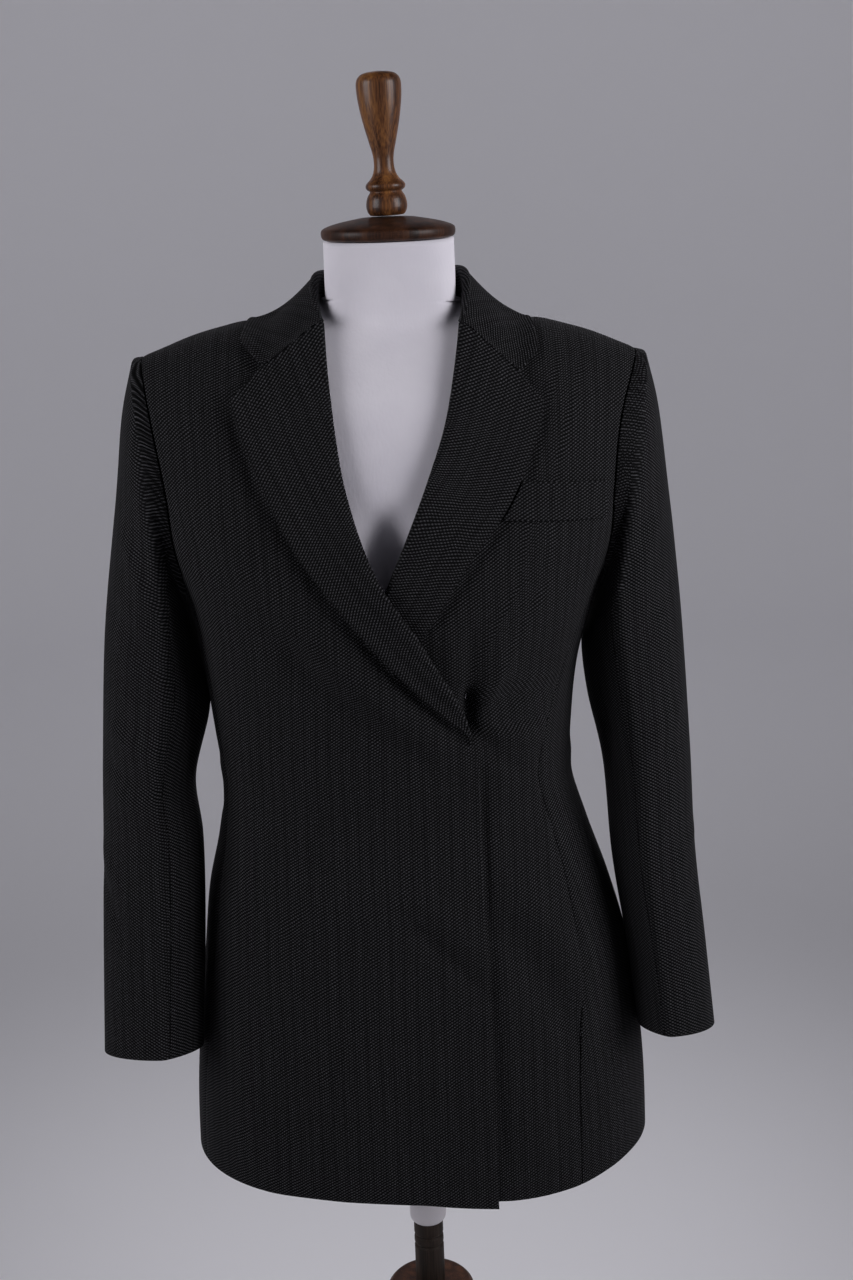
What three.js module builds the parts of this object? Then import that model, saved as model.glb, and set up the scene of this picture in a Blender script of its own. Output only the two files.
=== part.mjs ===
// A wrap-over double-breasted blazer standing on a limbless dress form with a turned wooden
// pole stand. Millimetres, +Z up, front towards -Y. The origin is on the floor below the pole.
// The wearer's right side is at -X, and the wearer's right front lies over the left one.
import * as THREE from "three";

// ---- Driving dimensions ----------------------------------------------------------------

const clothThickness = 2;
const seamGap = 0.6; // clear gap between two pieces that are sewn to each other
const layerStep = clothThickness + 0.9; // from one cloth layer's face to the next one's

const hemHeight = 560;
const armpitHeight = 1086;
const armholeFoot = 1112; // where the side-panel seams run into the armhole
const shoulderCap = 80; // height over which front and back round over to the shoulder seam
const neckHalfWidth = 62; // neck point of the shoulder seam, from the centre line
const backNeckDrop = 20; // centre back neck below the neck points
const breakHeight = 978; // where the lapels turn
const overlapReach = 60; // front edge past the centre line

const formBottom = 600;
const neckTop = 1380;
const poleRadius = 14;
const hubRadius = 42;
const hubTop = 392;
const baseRadius = 175;

// Body sections. right and left are half widths on the wearer's two sides, front and back
// are depths from the plane of the side seams. Above the armpit the widths are those of the
// rounded section that the armholes cut through.
const bodySections = [
  { z: 540, right: 211, left: 208, front: 139, back: 121 },
  { z: 620, right: 208, left: 206, front: 138, back: 122 },
  { z: 690, right: 200, left: 200, front: 135, back: 121 },
  { z: 760, right: 191, left: 190, front: 130, back: 115 },
  { z: 820, right: 183, left: 176, front: 122, back: 103 },
  { z: 870, right: 172, left: 160, front: 114, back: 91 },
  { z: 920, right: 166, left: 146, front: 110, back: 82 },
  { z: 970, right: 169, left: 144, front: 112, back: 82 },
  { z: 1030, right: 173, left: 152, front: 121, back: 90 },
  { z: 1086, right: 180, left: 169, front: 129, back: 98 },
  { z: 1130, right: 199, left: 187, front: 130, back: 102 },
  { z: 1180, right: 211, left: 199, front: 124, back: 104 },
  { z: 1236, right: 222, left: 209, front: 111, back: 103 },
  { z: 1288, right: 232, left: 222, front: 94, back: 97 },
  { z: 1345, right: 240, left: 232, front: 78, back: 84 },
];
const roundness = 2.3; // exponent of the sections: 2 is an ellipse, more is boxier

// Shoulder line of each side, at the neck point and at the tip.
const shoulders = {
  right: { neckZ: 1338, tipX: 210, tipZ: 1290 },
  left: { neckZ: 1335, tipX: 203, tipZ: 1282 },
};

// Armhole edge: distance from the centre line at each height.
const armholes = {
  right: [
    { z: 1112, x: 183 },
    { z: 1140, x: 188 },
    { z: 1180, x: 190 },
    { z: 1236, x: 198 },
    { z: 1292, x: 210.5 },
  ],
  left: [
    { z: 1112, x: 171 },
    { z: 1140, x: 176 },
    { z: 1180, x: 178 },
    { z: 1236, x: 185 },
    { z: 1284, x: 203.5 },
  ],
};

// Side-panel seams: how far in front of and behind the side line they run.
const sideSeams = {
  right: [
    { z: 540, front: 52, back: 52 },
    { z: 800, front: 50, back: 48 },
    { z: 905, front: 38, back: 40 },
    { z: 1060, front: 45, back: 44 },
    { z: 1112, front: 46, back: 46 },
  ],
  left: [
    { z: 540, front: 84, back: 52 },
    { z: 786, front: 90, back: 48 },
    { z: 880, front: 72, back: 40 },
    { z: 930, front: 70, back: 40 },
    { z: 1030, front: 62, back: 44 },
    { z: 1112, front: 46, back: 46 },
  ],
};

// Roll lines, where each front turns back as its lapel. x is positive towards the wearer's
// left; the right front's line starts past the centre, and the left one's is its mirror.
const rollLines = {
  right: [
    { z: 978, x: 58 },
    { z: 1000, x: 52 },
    { z: 1071, x: 22 },
    { z: 1112, x: -12 },
    { z: 1138, x: -25 },
    { z: 1192, x: -42 },
    { z: 1265, x: -53 },
    { z: 1332, x: -58.5 },
  ],
  left: [
    { z: 978, x: -58 },
    { z: 1040, x: -42 },
    { z: 1114, x: -11 },
    { z: 1154, x: 6 },
    { z: 1197, x: 23 },
    { z: 1237, x: 38 },
    { z: 1285, x: 49 },
    { z: 1328, x: 58.5 },
  ],
};

// Outer edges of the lapels, from the break up to the corner, and the two points of the
// notch: the lapel's upper edge runs corner, notch, roll line.
const lapels = {
  right: {
    edge: [
      { z: 978, x: 56 },
      { z: 1041, x: -1 },
      { z: 1080, x: -32 },
      { z: 1112, x: -58 },
      { z: 1144, x: -81 },
      { z: 1194, x: -103 },
      { z: 1234, x: -120 },
      { z: 1268, x: -128 },
    ],
    notch: { x: -105, z: 1290 },
    collarCorner: { x: -121, z: 1307 },
  },
  left: {
    edge: [
      { z: 978, x: -56 },
      { z: 1030, x: -16 },
      { z: 1081, x: 21 },
      { z: 1132, x: 53 },
      { z: 1170, x: 83 },
      { z: 1214, x: 107 },
      { z: 1258, x: 120 },
    ],
    notch: { x: 98, z: 1279 },
    collarCorner: { x: 117, z: 1294 },
  },
};

// Collar stations round one half of the neck, from the centre back to the front end. The
// stand rises from the neck seam to the fold, and the leaf falls from there to its edge.
const collarStations = [
  { seamX: 0, foldX: 0, foldY: 62, foldZ: 1352, leafX: 0, leafZ: 1300 },
  { seamX: 34, foldX: 34, foldY: 53, foldZ: 1353, leafX: 50, leafZ: 1301 },
  { seamX: 54, foldX: 53, foldY: 29, foldZ: 1355, leafX: 84, leafZ: 1308 },
  { seamX: 61, foldX: 58, foldY: 0, foldZ: 1354, leafX: 101, leafZ: 1324 },
  { seamX: 59.5, foldX: 59, foldY: -18, foldZ: 1347, leafX: 111, leafZ: 1316 },
  { seamX: 58.5, foldX: 58.5, foldY: -32, foldZ: 1336, leafX: 121, leafZ: 1307 },
];

// Sleeves, from the head to the cuff: the outer and inner edge of each section seen from the
// front, its middle and half depth from front to back, and how much its front edge rises.
const sleeves = {
  right: [
    { outX: 222, outZ: 1287, inX: 186, inZ: 1078, midY: 1, depth: 66, rise: 0 },
    { outX: 231, outZ: 1245, inX: 187, inZ: 1058, midY: 1, depth: 67, rise: 0 },
    { outX: 240, outZ: 1180, inX: 184, inZ: 1030, midY: 0, depth: 66, rise: 0 },
    { outX: 259, outZ: 1064, inX: 181, inZ: 985, midY: -3, depth: 62, rise: 0 },
    { outX: 269, outZ: 950, inX: 188, inZ: 922, midY: -12, depth: 58, rise: 4 },
    { outX: 273, outZ: 880, inX: 190, inZ: 868, midY: -21, depth: 55, rise: 8 },
    { outX: 278, outZ: 790, inX: 193, inZ: 788, midY: -36, depth: 52, rise: 12 },
    { outX: 283, outZ: 684, inX: 199, inZ: 684, midY: -55, depth: 48, rise: 14 },
  ],
  left: [
    { outX: 214, outZ: 1277, inX: 174, inZ: 1078, midY: 1, depth: 66, rise: 0 },
    { outX: 221, outZ: 1238, inX: 174, inZ: 1056, midY: 1, depth: 67, rise: 0 },
    { outX: 229, outZ: 1180, inX: 168, inZ: 1030, midY: 0, depth: 66, rise: 0 },
    { outX: 240, outZ: 1070, inX: 160, inZ: 985, midY: -3, depth: 62, rise: 0 },
    { outX: 250, outZ: 945, inX: 167, inZ: 925, midY: -14, depth: 58, rise: 4 },
    { outX: 254, outZ: 850, inX: 178, inZ: 840, midY: -27, depth: 54, rise: 8 },
    { outX: 260, outZ: 770, inX: 189, inZ: 768, midY: -41, depth: 51, rise: 12 },
    { outX: 265, outZ: 690, inX: 197, inZ: 690, midY: -55, depth: 47, rise: 14 },
  ],
};
const frontSleeveSeam = 118; // degrees round the sleeve from its outer edge
const backSleeveSeam = -122;

const welt = { centreX: 129, centreZ: 1176, width: 80, height: 31, slope: -0.1 };

// ---- Interpolation ---------------------------------------------------------------------

const lerp = (a, b, t) => a + (b - a) * t;

/** A smooth curve through the rows of a table with ascending z, for one of its columns. */
function column(rows, name, key = "z") {
  return (at) => {
    const last = rows.length - 1;
    let i = 0;
    while (i < last - 1 && rows[i + 1][key] < at) i++;
    const span = rows[i + 1][key] - rows[i][key];
    const t = THREE.MathUtils.clamp((at - rows[i][key]) / span, 0, 1);
    const slope = (k) => {
      const lo = rows[Math.max(k - 1, 0)];
      const hi = rows[Math.min(k + 1, last)];
      return (hi[name] - lo[name]) / (hi[key] - lo[key]);
    };
    const t2 = t * t;
    const t3 = t2 * t;
    return (
      (2 * t3 - 3 * t2 + 1) * rows[i][name] +
      (t3 - 2 * t2 + t) * span * slope(i) +
      (3 * t2 - 2 * t3) * rows[i + 1][name] +
      (t3 - t2) * span * slope(i + 1)
    );
  };
}

const halfWidth = { right: column(bodySections, "right"), left: column(bodySections, "left") };
const depth = { front: column(bodySections, "front"), back: column(bodySections, "back") };
const sign = { right: -1, left: 1, front: -1, back: 1 };
const sideOf = (x) => (x < 0 ? "right" : "left");
const probe = 1; // distance over which a slope is measured

// ---- The body's surface ----------------------------------------------------------------

/** Height of the shoulder line above a point x from the centre line. */
function shoulderZ(x) {
  const { neckZ, tipX, tipZ } = shoulders[sideOf(x)];
  const outwards = (Math.abs(x) - neckHalfWidth) / (tipX - neckHalfWidth);
  if (outwards > 0) return lerp(neckZ, tipZ, outwards);
  const across = (x + neckHalfWidth) / (2 * neckHalfWidth);
  return lerp(shoulders.right.neckZ, shoulders.left.neckZ, across);
}

/** Depth of the body's surface in front of, or behind, the side plane at (x, z). */
function surfaceY(face, x, z) {
  const below = THREE.MathUtils.clamp((shoulderZ(x) - z) / shoulderCap, 0, 1);
  return sign[face] * reach(face, x, z) * Math.sqrt(1 - (1 - below) ** 2);
}

/** Depth of a section at x, as it is below the shoulder's rounding. */
function reach(face, x, z) {
  const across = Math.min(1, Math.abs(x) / halfWidth[sideOf(x)](z));
  return depth[face](z) * (1 - across ** roundness) ** (1 / roundness);
}

/** Point on the shoulder's rounding above (x, y), lift outside it. */
function onShoulder(x, y, lift) {
  const face = y < 0 ? "front" : "back";
  const heightAt = (atX, atY) => {
    let z = shoulderZ(atX);
    for (let pass = 0; pass < 8; pass++) {
      const share = Math.min(0.98, Math.abs(atY) / reach(face, atX, z));
      z = shoulderZ(atX) - shoulderCap * (1 - Math.sqrt(1 - share * share));
    }
    return z;
  };
  const half = probe / 2;
  const slopeX = (heightAt(x + half, y) - heightAt(x - half, y)) / probe;
  const slopeY = (heightAt(x, y + half) - heightAt(x, y - half)) / probe;
  const normal = new THREE.Vector3(-slopeX, -slopeY, 1).normalize();
  return new THREE.Vector3(x, y, heightAt(x, y)).addScaledVector(normal, lift);
}

/** Distance of the surface from the centre line at y in front of or behind the side line. */
function surfaceX(side, y, z) {
  const face = y < 0 ? "front" : "back";
  const share = Math.min(1, Math.abs(y) / depth[face](z));
  return sign[side] * halfWidth[side](z) * (1 - share ** roundness) ** (1 / roundness);
}

/** Outward unit normal of a surface point(u, v), whose u x v turns outwards when turn is 1. */
function normalAt(point, u, v, turn) {
  const step = 0.004;
  const du = point(u + step, v).sub(point(u - step, v));
  const low = Math.max(0, v - step);
  const high = Math.min(1, v + step);
  const dv = point(u, high).sub(point(u, low));
  return du.cross(dv).normalize().multiplyScalar(turn);
}

// ---- Cloth walls -----------------------------------------------------------------------

/** Closed mesh geometry from vertices and triangles, turned so that its faces point out. */
function closedGeometry(points, triangles) {
  let volume = 0;
  for (const [a, b, c] of triangles)
    volume += points[a].dot(points[b].clone().cross(points[c])) / 6;
  const faces = volume < 0 ? triangles.map(([a, b, c]) => [a, c, b]) : triangles;
  const geometry = new THREE.BufferGeometry();
  geometry.setFromPoints(points);
  geometry.setIndex(faces.flat());
  geometry.computeVertexNormals();
  return geometry;
}

/** A list of shares from 0 to 1 as it stands, or a number of equal steps as such a list. */
const shares = (steps) =>
  Array.isArray(steps) ? steps : Array.from({ length: steps + 1 }, (_, i) => i / steps);

/**
 * A wall of cloth whose outer face is point(u, v), on a grid of columns x rows, with its
 * edges drawn in by half a seam gap.
 */
function clothWall({ point, turn, columns, rows }) {
  const us = shares(columns);
  const vs = shares(rows);
  const drawnIn = (list, k, length) => {
    const inset = Math.min(0.4, seamGap / 2 / Math.max(length, 1));
    if (k === 0) return lerp(list[0], list[1], inset);
    if (k === list.length - 1) return lerp(list[k], list[k - 1], inset);
    return list[k];
  };
  const outer = [];
  const inner = [];
  for (let j = 0; j < vs.length; j++) {
    for (let i = 0; i < us.length; i++) {
      const nextU = us[i === 0 ? 1 : i - 1] ?? us[i];
      const nextV = vs[j === 0 ? 1 : j - 1] ?? vs[j];
      const here = point(us[i], vs[j]);
      const u = drawnIn(us, i, here.distanceTo(point(nextU, vs[j])));
      const v = drawnIn(vs, j, here.distanceTo(point(us[i], nextV)));
      const base = point(u, v);
      const normal = normalAt(point, u, v, turn);
      outer.push(base);
      inner.push(base.clone().addScaledVector(normal, -clothThickness));
    }
  }
  return gridShell(outer, inner, us.length, vs.length);
}

/** Closes two equal grids of points, wide x high, into one shell with rims. */
function gridShell(outer, inner, wide, high) {
  const triangles = [];
  const count = wide * high;
  const quad = (a, b, c, d) => triangles.push([a, b, c], [a, c, d]);
  for (let j = 0; j + 1 < high; j++) {
    for (let i = 0; i + 1 < wide; i++) {
      const a = j * wide + i;
      quad(a, a + 1, a + 1 + wide, a + wide);
      quad(count + a, count + a + wide, count + a + 1 + wide, count + a + 1);
    }
  }
  const rim = (a, b) => quad(b, a, count + a, count + b);
  for (let i = 0; i + 1 < wide; i++) {
    rim(i, i + 1);
    rim((high - 1) * wide + i + 1, (high - 1) * wide + i);
  }
  for (let j = 0; j + 1 < high; j++) {
    rim((j + 1) * wide, j * wide);
    rim(j * wide + wide - 1, (j + 1) * wide + wide - 1);
  }
  return closedGeometry([...outer, ...inner], triangles);
}

// ---- Body panels -----------------------------------------------------------------------

/** Point on the front or back, lift outside the body's surface. */
function onBody(face, x, z, lift = 0) {
  const y = surfaceY(face, x, z);
  const point = new THREE.Vector3(x, y, z);
  if (lift === 0) return point;
  const half = probe / 2;
  const slopeX = (surfaceY(face, x + half, z) - surfaceY(face, x - half, z)) / probe;
  const slopeZ = (y - surfaceY(face, x, z - half)) / half;
  const normal = new THREE.Vector3(-slopeX, 1, -slopeZ).normalize();
  return point.addScaledVector(normal, sign[face] * lift);
}

const frontEdge = column(
  [
    { z: 540, x: 64 },
    { z: 760, x: 60 },
    { z: 930, x: 58 },
    { z: breakHeight, x: 58 },
  ],
  "x",
);
const rollLine = { right: column(rollLines.right, "x"), left: column(rollLines.left, "x") };
const armhole = { right: column(armholes.right, "x"), left: column(armholes.left, "x") };
const seamAt = (side, face) => column(sideSeams[side], face);

/** Inner boundary of a front: its edge below the break, its roll line above. */
function frontInner(side, z) {
  if (z > breakHeight) return rollLine[side](z);
  return side === "right" ? frontEdge(z) : -overlapReach;
}

/** Outer boundary of a front or back: the side-panel seam, then the armhole. */
function panelOuter(side, face, z) {
  if (z > armholeFoot) return sign[side] * armhole[side](z);
  return surfaceX(side, sign[face] * seamAt(side, face)(z), z);
}

/**
 * How far the right front lies outside the body, to clear what it wraps over: the left front,
 * and from just below the break also the left lapel. Above the V it lies on nothing.
 */
const wrapStep = layerStep + 0.4;
const wrapFade = { reach: 60, start: 6, lapelFrom: 890, lapelTo: 950, openFrom: 1112, openTo: 1165 };

function overlapLift(x, z) {
  const fade = wrapFade;
  const under = frontInner("left", z);
  const wrapped = THREE.MathUtils.smoothstep(x, under - fade.reach, under - fade.start);
  const lapelBelow = THREE.MathUtils.smoothstep(z, fade.lapelFrom, fade.lapelTo);
  const closed = 1 - THREE.MathUtils.smoothstep(z, fade.openFrom, fade.openTo);
  return wrapStep * (1 + lapelBelow) * wrapped * closed;
}

const panelLift = { right: overlapLift, left: () => 0 };

const settlingPasses = 12; // rounds in which a panel's place and height settle on each other
const rimDrop = 0.001; // keeps a panel's top row off the exact ridge
const footShare = 0.56; // share of a panel's rows below the foot of the armhole
const capShare = 0.74; // share of them below the shoulder's rounding

/** Height of a panel's row v above x, where the top row follows the seam less a drop. */
function panelHeight(v, x, drop) {
  if (v < footShare) return lerp(hemHeight, armholeFoot, v / footShare);
  const capStart = shoulderZ(x) - shoulderCap;
  if (v < capShare) {
    return lerp(armholeFoot, capStart, (v - footShare) / (capShare - footShare));
  }
  const turn = ((v - capShare) / (1 - capShare)) * (Math.PI / 2);
  return capStart + (shoulderCap - drop(x)) * Math.sin(turn);
}

/** Place across a section as an angle, which spaces the columns evenly round its corner. */
const angleOf = (x, z) =>
  Math.asin(THREE.MathUtils.clamp(x / halfWidth[sideOf(x)](z), -1, 1));

function angledX(angle, z) {
  return halfWidth[angle < 0 ? "right" : "left"](z) * Math.sin(angle);
}

/** Surface of a front or back panel between two boundaries given as x at each height. */
function panelSurface(face, inner, outer, liftAt, drop = () => rimDrop) {
  return (u, v) => {
    let x = lerp(inner(armpitHeight), outer(armpitHeight), u);
    let z = armpitHeight;
    for (let pass = 0; pass < settlingPasses; pass++) {
      z = panelHeight(v, x, drop);
      x = angledX(lerp(angleOf(inner(z), z), angleOf(outer(z), z), u), z);
    }
    return onBody(face, x, z, liftAt(x, z));
  };
}

const rowsBelowFoot = [0, 0.12, 0.24, 0.36, 0.47, 0.57, 0.66, 0.74, 0.81, 0.87, 0.92, 0.96, 1];
const panelRows = [
  ...rowsBelowFoot.map((v) => v * footShare),
  ...[0.61, 0.67, capShare, 0.79, 0.84, 0.89, 0.94, 0.975, 1],
];

function makeFront(side) {
  const inner = (z) => frontInner(side, z);
  const outer = (z) => panelOuter(side, "front", z);
  const point = panelSurface("front", inner, outer, panelLift[side]);
  return clothWall({ point, turn: sign[side], columns: 12, rows: panelRows });
}

const backColumns = [0, 0.1, 0.18, 0.245, 0.37, 0.5, 0.63, 0.76, 0.88, 1]; // 0.245: neck point

/** The back neckline dips between the neck points. */
const backNeckDip = (x) => backNeckDrop * Math.max(0, 1 - (x / neckHalfWidth) ** 2) + rimDrop;

function makeBack(side) {
  const outer = (z) => panelOuter(side, "back", z);
  const point = panelSurface("back", () => 0, outer, () => 0, backNeckDip);
  return clothWall({ point, turn: -sign[side], columns: backColumns, rows: panelRows });
}

/** Height of the armhole's lowest arc at y from the side line. */
function armholeArc(y) {
  const reach = seamAt("right", "front")(armholeFoot);
  const share = Math.min(1, Math.abs(y) / reach);
  return armholeFoot - (armholeFoot - armpitHeight) * Math.sqrt(1 - share * share);
}

function makeSidePanel(side) {
  const point = (u, v) => {
    let z = lerp(hemHeight, armpitHeight, v);
    let y = 0;
    for (let pass = 0; pass < settlingPasses; pass++) {
      y = lerp(-seamAt(side, "front")(z), seamAt(side, "back")(z), u);
      z = lerp(hemHeight, armholeArc(y), v);
    }
    return new THREE.Vector3(surfaceX(side, y, z), y, z);
  };
  return clothWall({ point, turn: sign[side], columns: 7, rows: rowsBelowFoot });
}

// ---- Lapels, collar and pocket ---------------------------------------------------------

/** A place along a chain of [x, z] corners, each with the share at which it is reached. */
function along(chain, share) {
  let i = 0;
  while (i < chain.length - 2 && chain[i + 1].at < share) i++;
  const t = (share - chain[i].at) / (chain[i + 1].at - chain[i].at);
  return [lerp(chain[i].x, chain[i + 1].x, t), lerp(chain[i].z, chain[i + 1].z, t)];
}

const notchShare = 0.68; // where the notch lies along a lapel's and a collar's end
const gorgeShares = [0, 0.12, 0.26, 0.4, 0.54, notchShare, 0.84, 1];
const gorgeClearance = 0.003; // share of the lapel's length kept clear of the collar
const rollTop = { right: rollLines.right.at(-1), left: rollLines.left.at(-1) };

/** Turned-back part of a front: u runs from the roll line to the edge, v up to the gorge. */
function makeLapel(side) {
  const { edge, notch } = lapels[side];
  const edgeX = column(edge, "x");
  const corner = edge.at(-1);
  const top = [
    { ...rollTop[side], at: 0 },
    { ...notch, at: notchShare },
    { ...corner, at: 1 },
  ];
  const point = (u, share) => {
    const v = share * (1 - gorgeClearance);
    const rollZ = lerp(breakHeight + 12, rollTop[side].z, v);
    const edgeZ = lerp(breakHeight + 6, corner.z, v);
    const [topX, topZ] = along(top, u);
    const bend = Math.max(0, v) ** 7;
    const straightX = lerp(rollTop[side].x, corner.x, u);
    const straightZ = lerp(rollTop[side].z, corner.z, u);
    const x = lerp(rollLine[side](rollZ), edgeX(edgeZ), u) + bend * (topX - straightX);
    const z = lerp(rollZ, edgeZ, u) + bend * (topZ - straightZ);
    const free = THREE.MathUtils.smoothstep(z, 1090, 1180);
    const roll = collarLift * free * Math.max(0, 1 - u) ** 2;
    return onBody("front", x, z, panelLift[side](x, z) + layerStep + roll);
  };
  return clothWall({ point, turn: sign[side], columns: gorgeShares, rows: 13 });
}

const shoulderShare = 0.6; // the station at the shoulder seam
const foldRadius = 3.4;
const foldShare = 0.36; // share of the collar's rows on the stand
const leafLift = layerStep + 1.1; // height of the leaf above the body
const collarLift = 2.5; // how far leaf and lapel stand off the front along their roll

const collarRows = collarStations.map((row, i, all) => {
  const at = i / (all.length - 1);
  const face = at < shoulderShare ? "back" : "front";
  return { ...row, at, leafY: at === shoulderShare ? 0 : surfaceY(face, row.leafX, row.leafZ) };
});
const collarColumn = (name) => column(collarRows, name, "at");

/** Inner face of the stand where it is sewn on, just above the neckline of the panels. */
function standFoot(side, share) {
  const x = collarColumn("seamX")(share);
  const signed = sign[side] * x;
  if (share <= shoulderShare) {
    const z = shoulderZ(signed) - backNeckDip(x);
    const edge = new THREE.Vector3(signed, surfaceY("back", signed, z), z + 1);
    const inwards = new THREE.Vector3(edge.x, edge.y, 0).setLength(clothThickness + 0.3);
    return edge.sub(inwards);
  }
  const forwards = (share - shoulderShare) / (1 - shoulderShare);
  const foot = onShoulder(signed, -28 * forwards, 0);
  return foot.add(new THREE.Vector3(-sign[side] * (clothThickness + 0.3), 0, 1));
}

/** Point of the collar's leaf, w of the way from the fold to the outer edge. */
function leafPoint(side, share, fold, w) {
  const { notch, collarCorner } = lapels[side];
  const end = [
    { ...rollTop[side], at: 0 },
    { ...notch, at: notchShare },
    { ...collarCorner, at: 1 },
  ];
  const lower = share ** 3; // the front end hangs lower on one side than on the other
  const cornerRow = collarRows.at(-1);
  const cornerY = surfaceY("front", collarCorner.x, collarCorner.z);
  const edgeX =
    sign[side] * lerp(collarColumn("leafX")(share), Math.abs(collarCorner.x), lower);
  const edgeY = collarColumn("leafY")(share) + lower * (cornerY - cornerRow.leafY);
  const edge = onShoulder(edgeX, edgeY, leafLift);
  const leaf = fold.clone().lerp(edge, w);
  const [endX, endZ] = along(end, w);
  const atEnd = onBody("front", endX, endZ, leafLift + collarLift * Math.max(0, 1 - w) ** 2);
  leaf.lerp(atEnd, share ** 9);
  const resting = onShoulder(leaf.x, leaf.y, leafLift);
  leaf.z = Math.max(leaf.z, resting.z);
  return leaf;
}

/** Folded collar: u runs round the neck, v from the stand's foot over the fold to the edge. */
function makeCollar() {
  const point = (u, v) => {
    const round = THREE.MathUtils.clamp(2 * u - 1, -1, 1);
    const side = round < 0 ? "right" : "left";
    const share = Math.abs(round);
    const [foldX, foldY, foldZ] = ["foldX", "foldY", "foldZ"].map((n) => collarColumn(n)(share));
    const fold = new THREE.Vector3(sign[side] * foldX, foldY, foldZ);
    const { x, z } = rollTop[side];
    fold.lerp(onBody("front", x, z, layerStep + collarLift), share ** 9);
    const flat = new THREE.Vector3(fold.x, fold.y, 0).normalize();
    const radius = foldRadius * (1 - share ** 4);
    if (v < foldShare) {
      const w = v / foldShare;
      const top = fold.clone().addScaledVector(flat, -radius * (1 - w ** 3));
      top.z -= radius * (1 - w ** 3);
      return standFoot(side, share).lerp(top, w);
    }
    const w = (v - foldShare) / (1 - foldShare);
    const outwards = radius * Math.min(1, w * 4) * (1 - w);
    return leafPoint(side, share, fold, w).addScaledVector(flat, outwards);
  };
  const standRows = [0, 0.18, 0.3];
  const leafRows = gorgeShares.map((share) => lerp(foldShare, 1, share));
  return clothWall({ point, turn: 1, columns: 28, rows: [...standRows, ...leafRows] });
}

/** Breast pocket welt on the left front, which starts at the lapel's edge. */
function makeWelt() {
  const edgeX = column(lapels.left.edge, "x");
  const point = (u, v) => {
    const outerX = welt.centreX + welt.width / 2;
    const rise = (v - 0.5) * welt.height;
    const weltZ = (x) => welt.centreZ + rise + (x - welt.centreX) * welt.slope;
    let startX = welt.centreX - welt.width / 2;
    for (let pass = 0; pass < 4; pass++) startX = edgeX(weltZ(startX)) + 1.5;
    const x = lerp(startX, outerX, u);
    const z = weltZ(x);
    return onBody("front", x, z, layerStep);
  };
  return clothWall({ point, turn: 1, columns: 6, rows: 3 });
}

// ---- Sleeves ---------------------------------------------------------------------------

/** Armhole edge at an angle from the shoulder tip: forwards, down to the armpit, and back. */
function armholePoint(side, angle) {
  const tip = armholes[side].at(-1).z - 2;
  const middle = (tip + armpitHeight) / 2;
  const z = middle + (tip - middle) * Math.cos(angle);
  const face = Math.sin(angle) > 0 ? "front" : "back";
  if (z > armholeFoot) {
    const x = sign[side] * armhole[side](z);
    return new THREE.Vector3(x, surfaceY(face, x, z), z);
  }
  const low = (armholeFoot - z) / (armholeFoot - armpitHeight);
  const y = sign[face] * seamAt(side, face)(armholeFoot) * Math.sqrt(1 - low * low);
  return new THREE.Vector3(surfaceX(side, y, z), y, z);
}

const sleeveColumns = ["outX", "outZ", "inX", "inZ", "midY", "depth", "rise"];

/** Point of a sleeve at an angle from its outer edge, down of the way along its sections. */
function sleeveSection(side, angle, down) {
  const rows = sleeves[side].map((row, i, all) => ({ ...row, at: i / (all.length - 1) }));
  const [outX, outZ, inX, inZ, midY, deep, rise] = sleeveColumns.map((name) =>
    column(rows, name, "at")(down),
  );
  const toOut = (1 + Math.cos(angle)) / 2;
  const toFront = Math.sin(angle);
  return new THREE.Vector3(
    sign[side] * lerp(inX, outX, toOut),
    midY - deep * toFront,
    lerp(inZ, outZ, toOut) + rise * toFront,
  );
}

const armholeGap = 1.9; // between the armhole's edge and the sleeve's
const seamTurn = 0.5; // degrees by which a sleeve piece keeps back from each long seam
const headShare = 0.09; // share of the sleeve's rows between the armhole and the first section

function makeSleevePiece(side, fromDegrees, toDegrees, columns) {
  const point = (u, v) => {
    const degrees = lerp(fromDegrees + seamTurn, toDegrees - seamTurn, u);
    const angle = THREE.MathUtils.degToRad(degrees);
    if (v >= headShare) return sleeveSection(side, angle, (v - headShare) / (1 - headShare));
    const start = armholePoint(side, angle);
    start.x += sign[side] * armholeGap;
    const t = Math.max(0, v) / headShare;
    return start.lerp(sleeveSection(side, angle, 0), t);
  };
  const rows = [
    0, 0.045, 0.09, 0.15, 0.22, 0.3, 0.38, 0.46, 0.54, 0.61, 0.68, 0.75, 0.83, 0.91, 1,
  ];
  return clothWall({ point, turn: sign[side], columns, rows });
}

// ---- Dress form ------------------------------------------------------------------------

const formSections = [
  { z: 600, half: 186, clear: 14 },
  { z: 700, half: 184, clear: 14 },
  { z: 820, half: 160, clear: 14 },
  { z: 920, half: 132, clear: 12 },
  { z: 1030, half: 140, clear: 12 },
  { z: 1086, half: 150, clear: 10 },
  { z: 1180, half: 160, clear: 8 },
  { z: 1250, half: 170, clear: 5 },
  { z: 1290, half: 168, clear: 4 },
  { z: 1330, half: 150, clear: 4 },
  { z: 1380, half: 150, clear: 4 },
];
const neck = { halfWidth: 54, halfDepth: 49, midY: -2 };
const formRoundness = 2.6;
const neckBlend = 10; // how sharply the neck and the torso meet

/** Depth of the form below the cloth's shoulder line: the cloth rests on the outer shoulder. */
function ridgeInset(x) {
  const towardsNeck = 1 - THREE.MathUtils.smoothstep(Math.abs(x), 66, 115);
  return clothThickness + 0.4 + 5 * towardsNeck;
}

/** The larger of two sizes, rounded over where they are nearly equal. */
const blended = (a, b) => (a ** neckBlend + b ** neckBlend) ** (1 / neckBlend);

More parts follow.
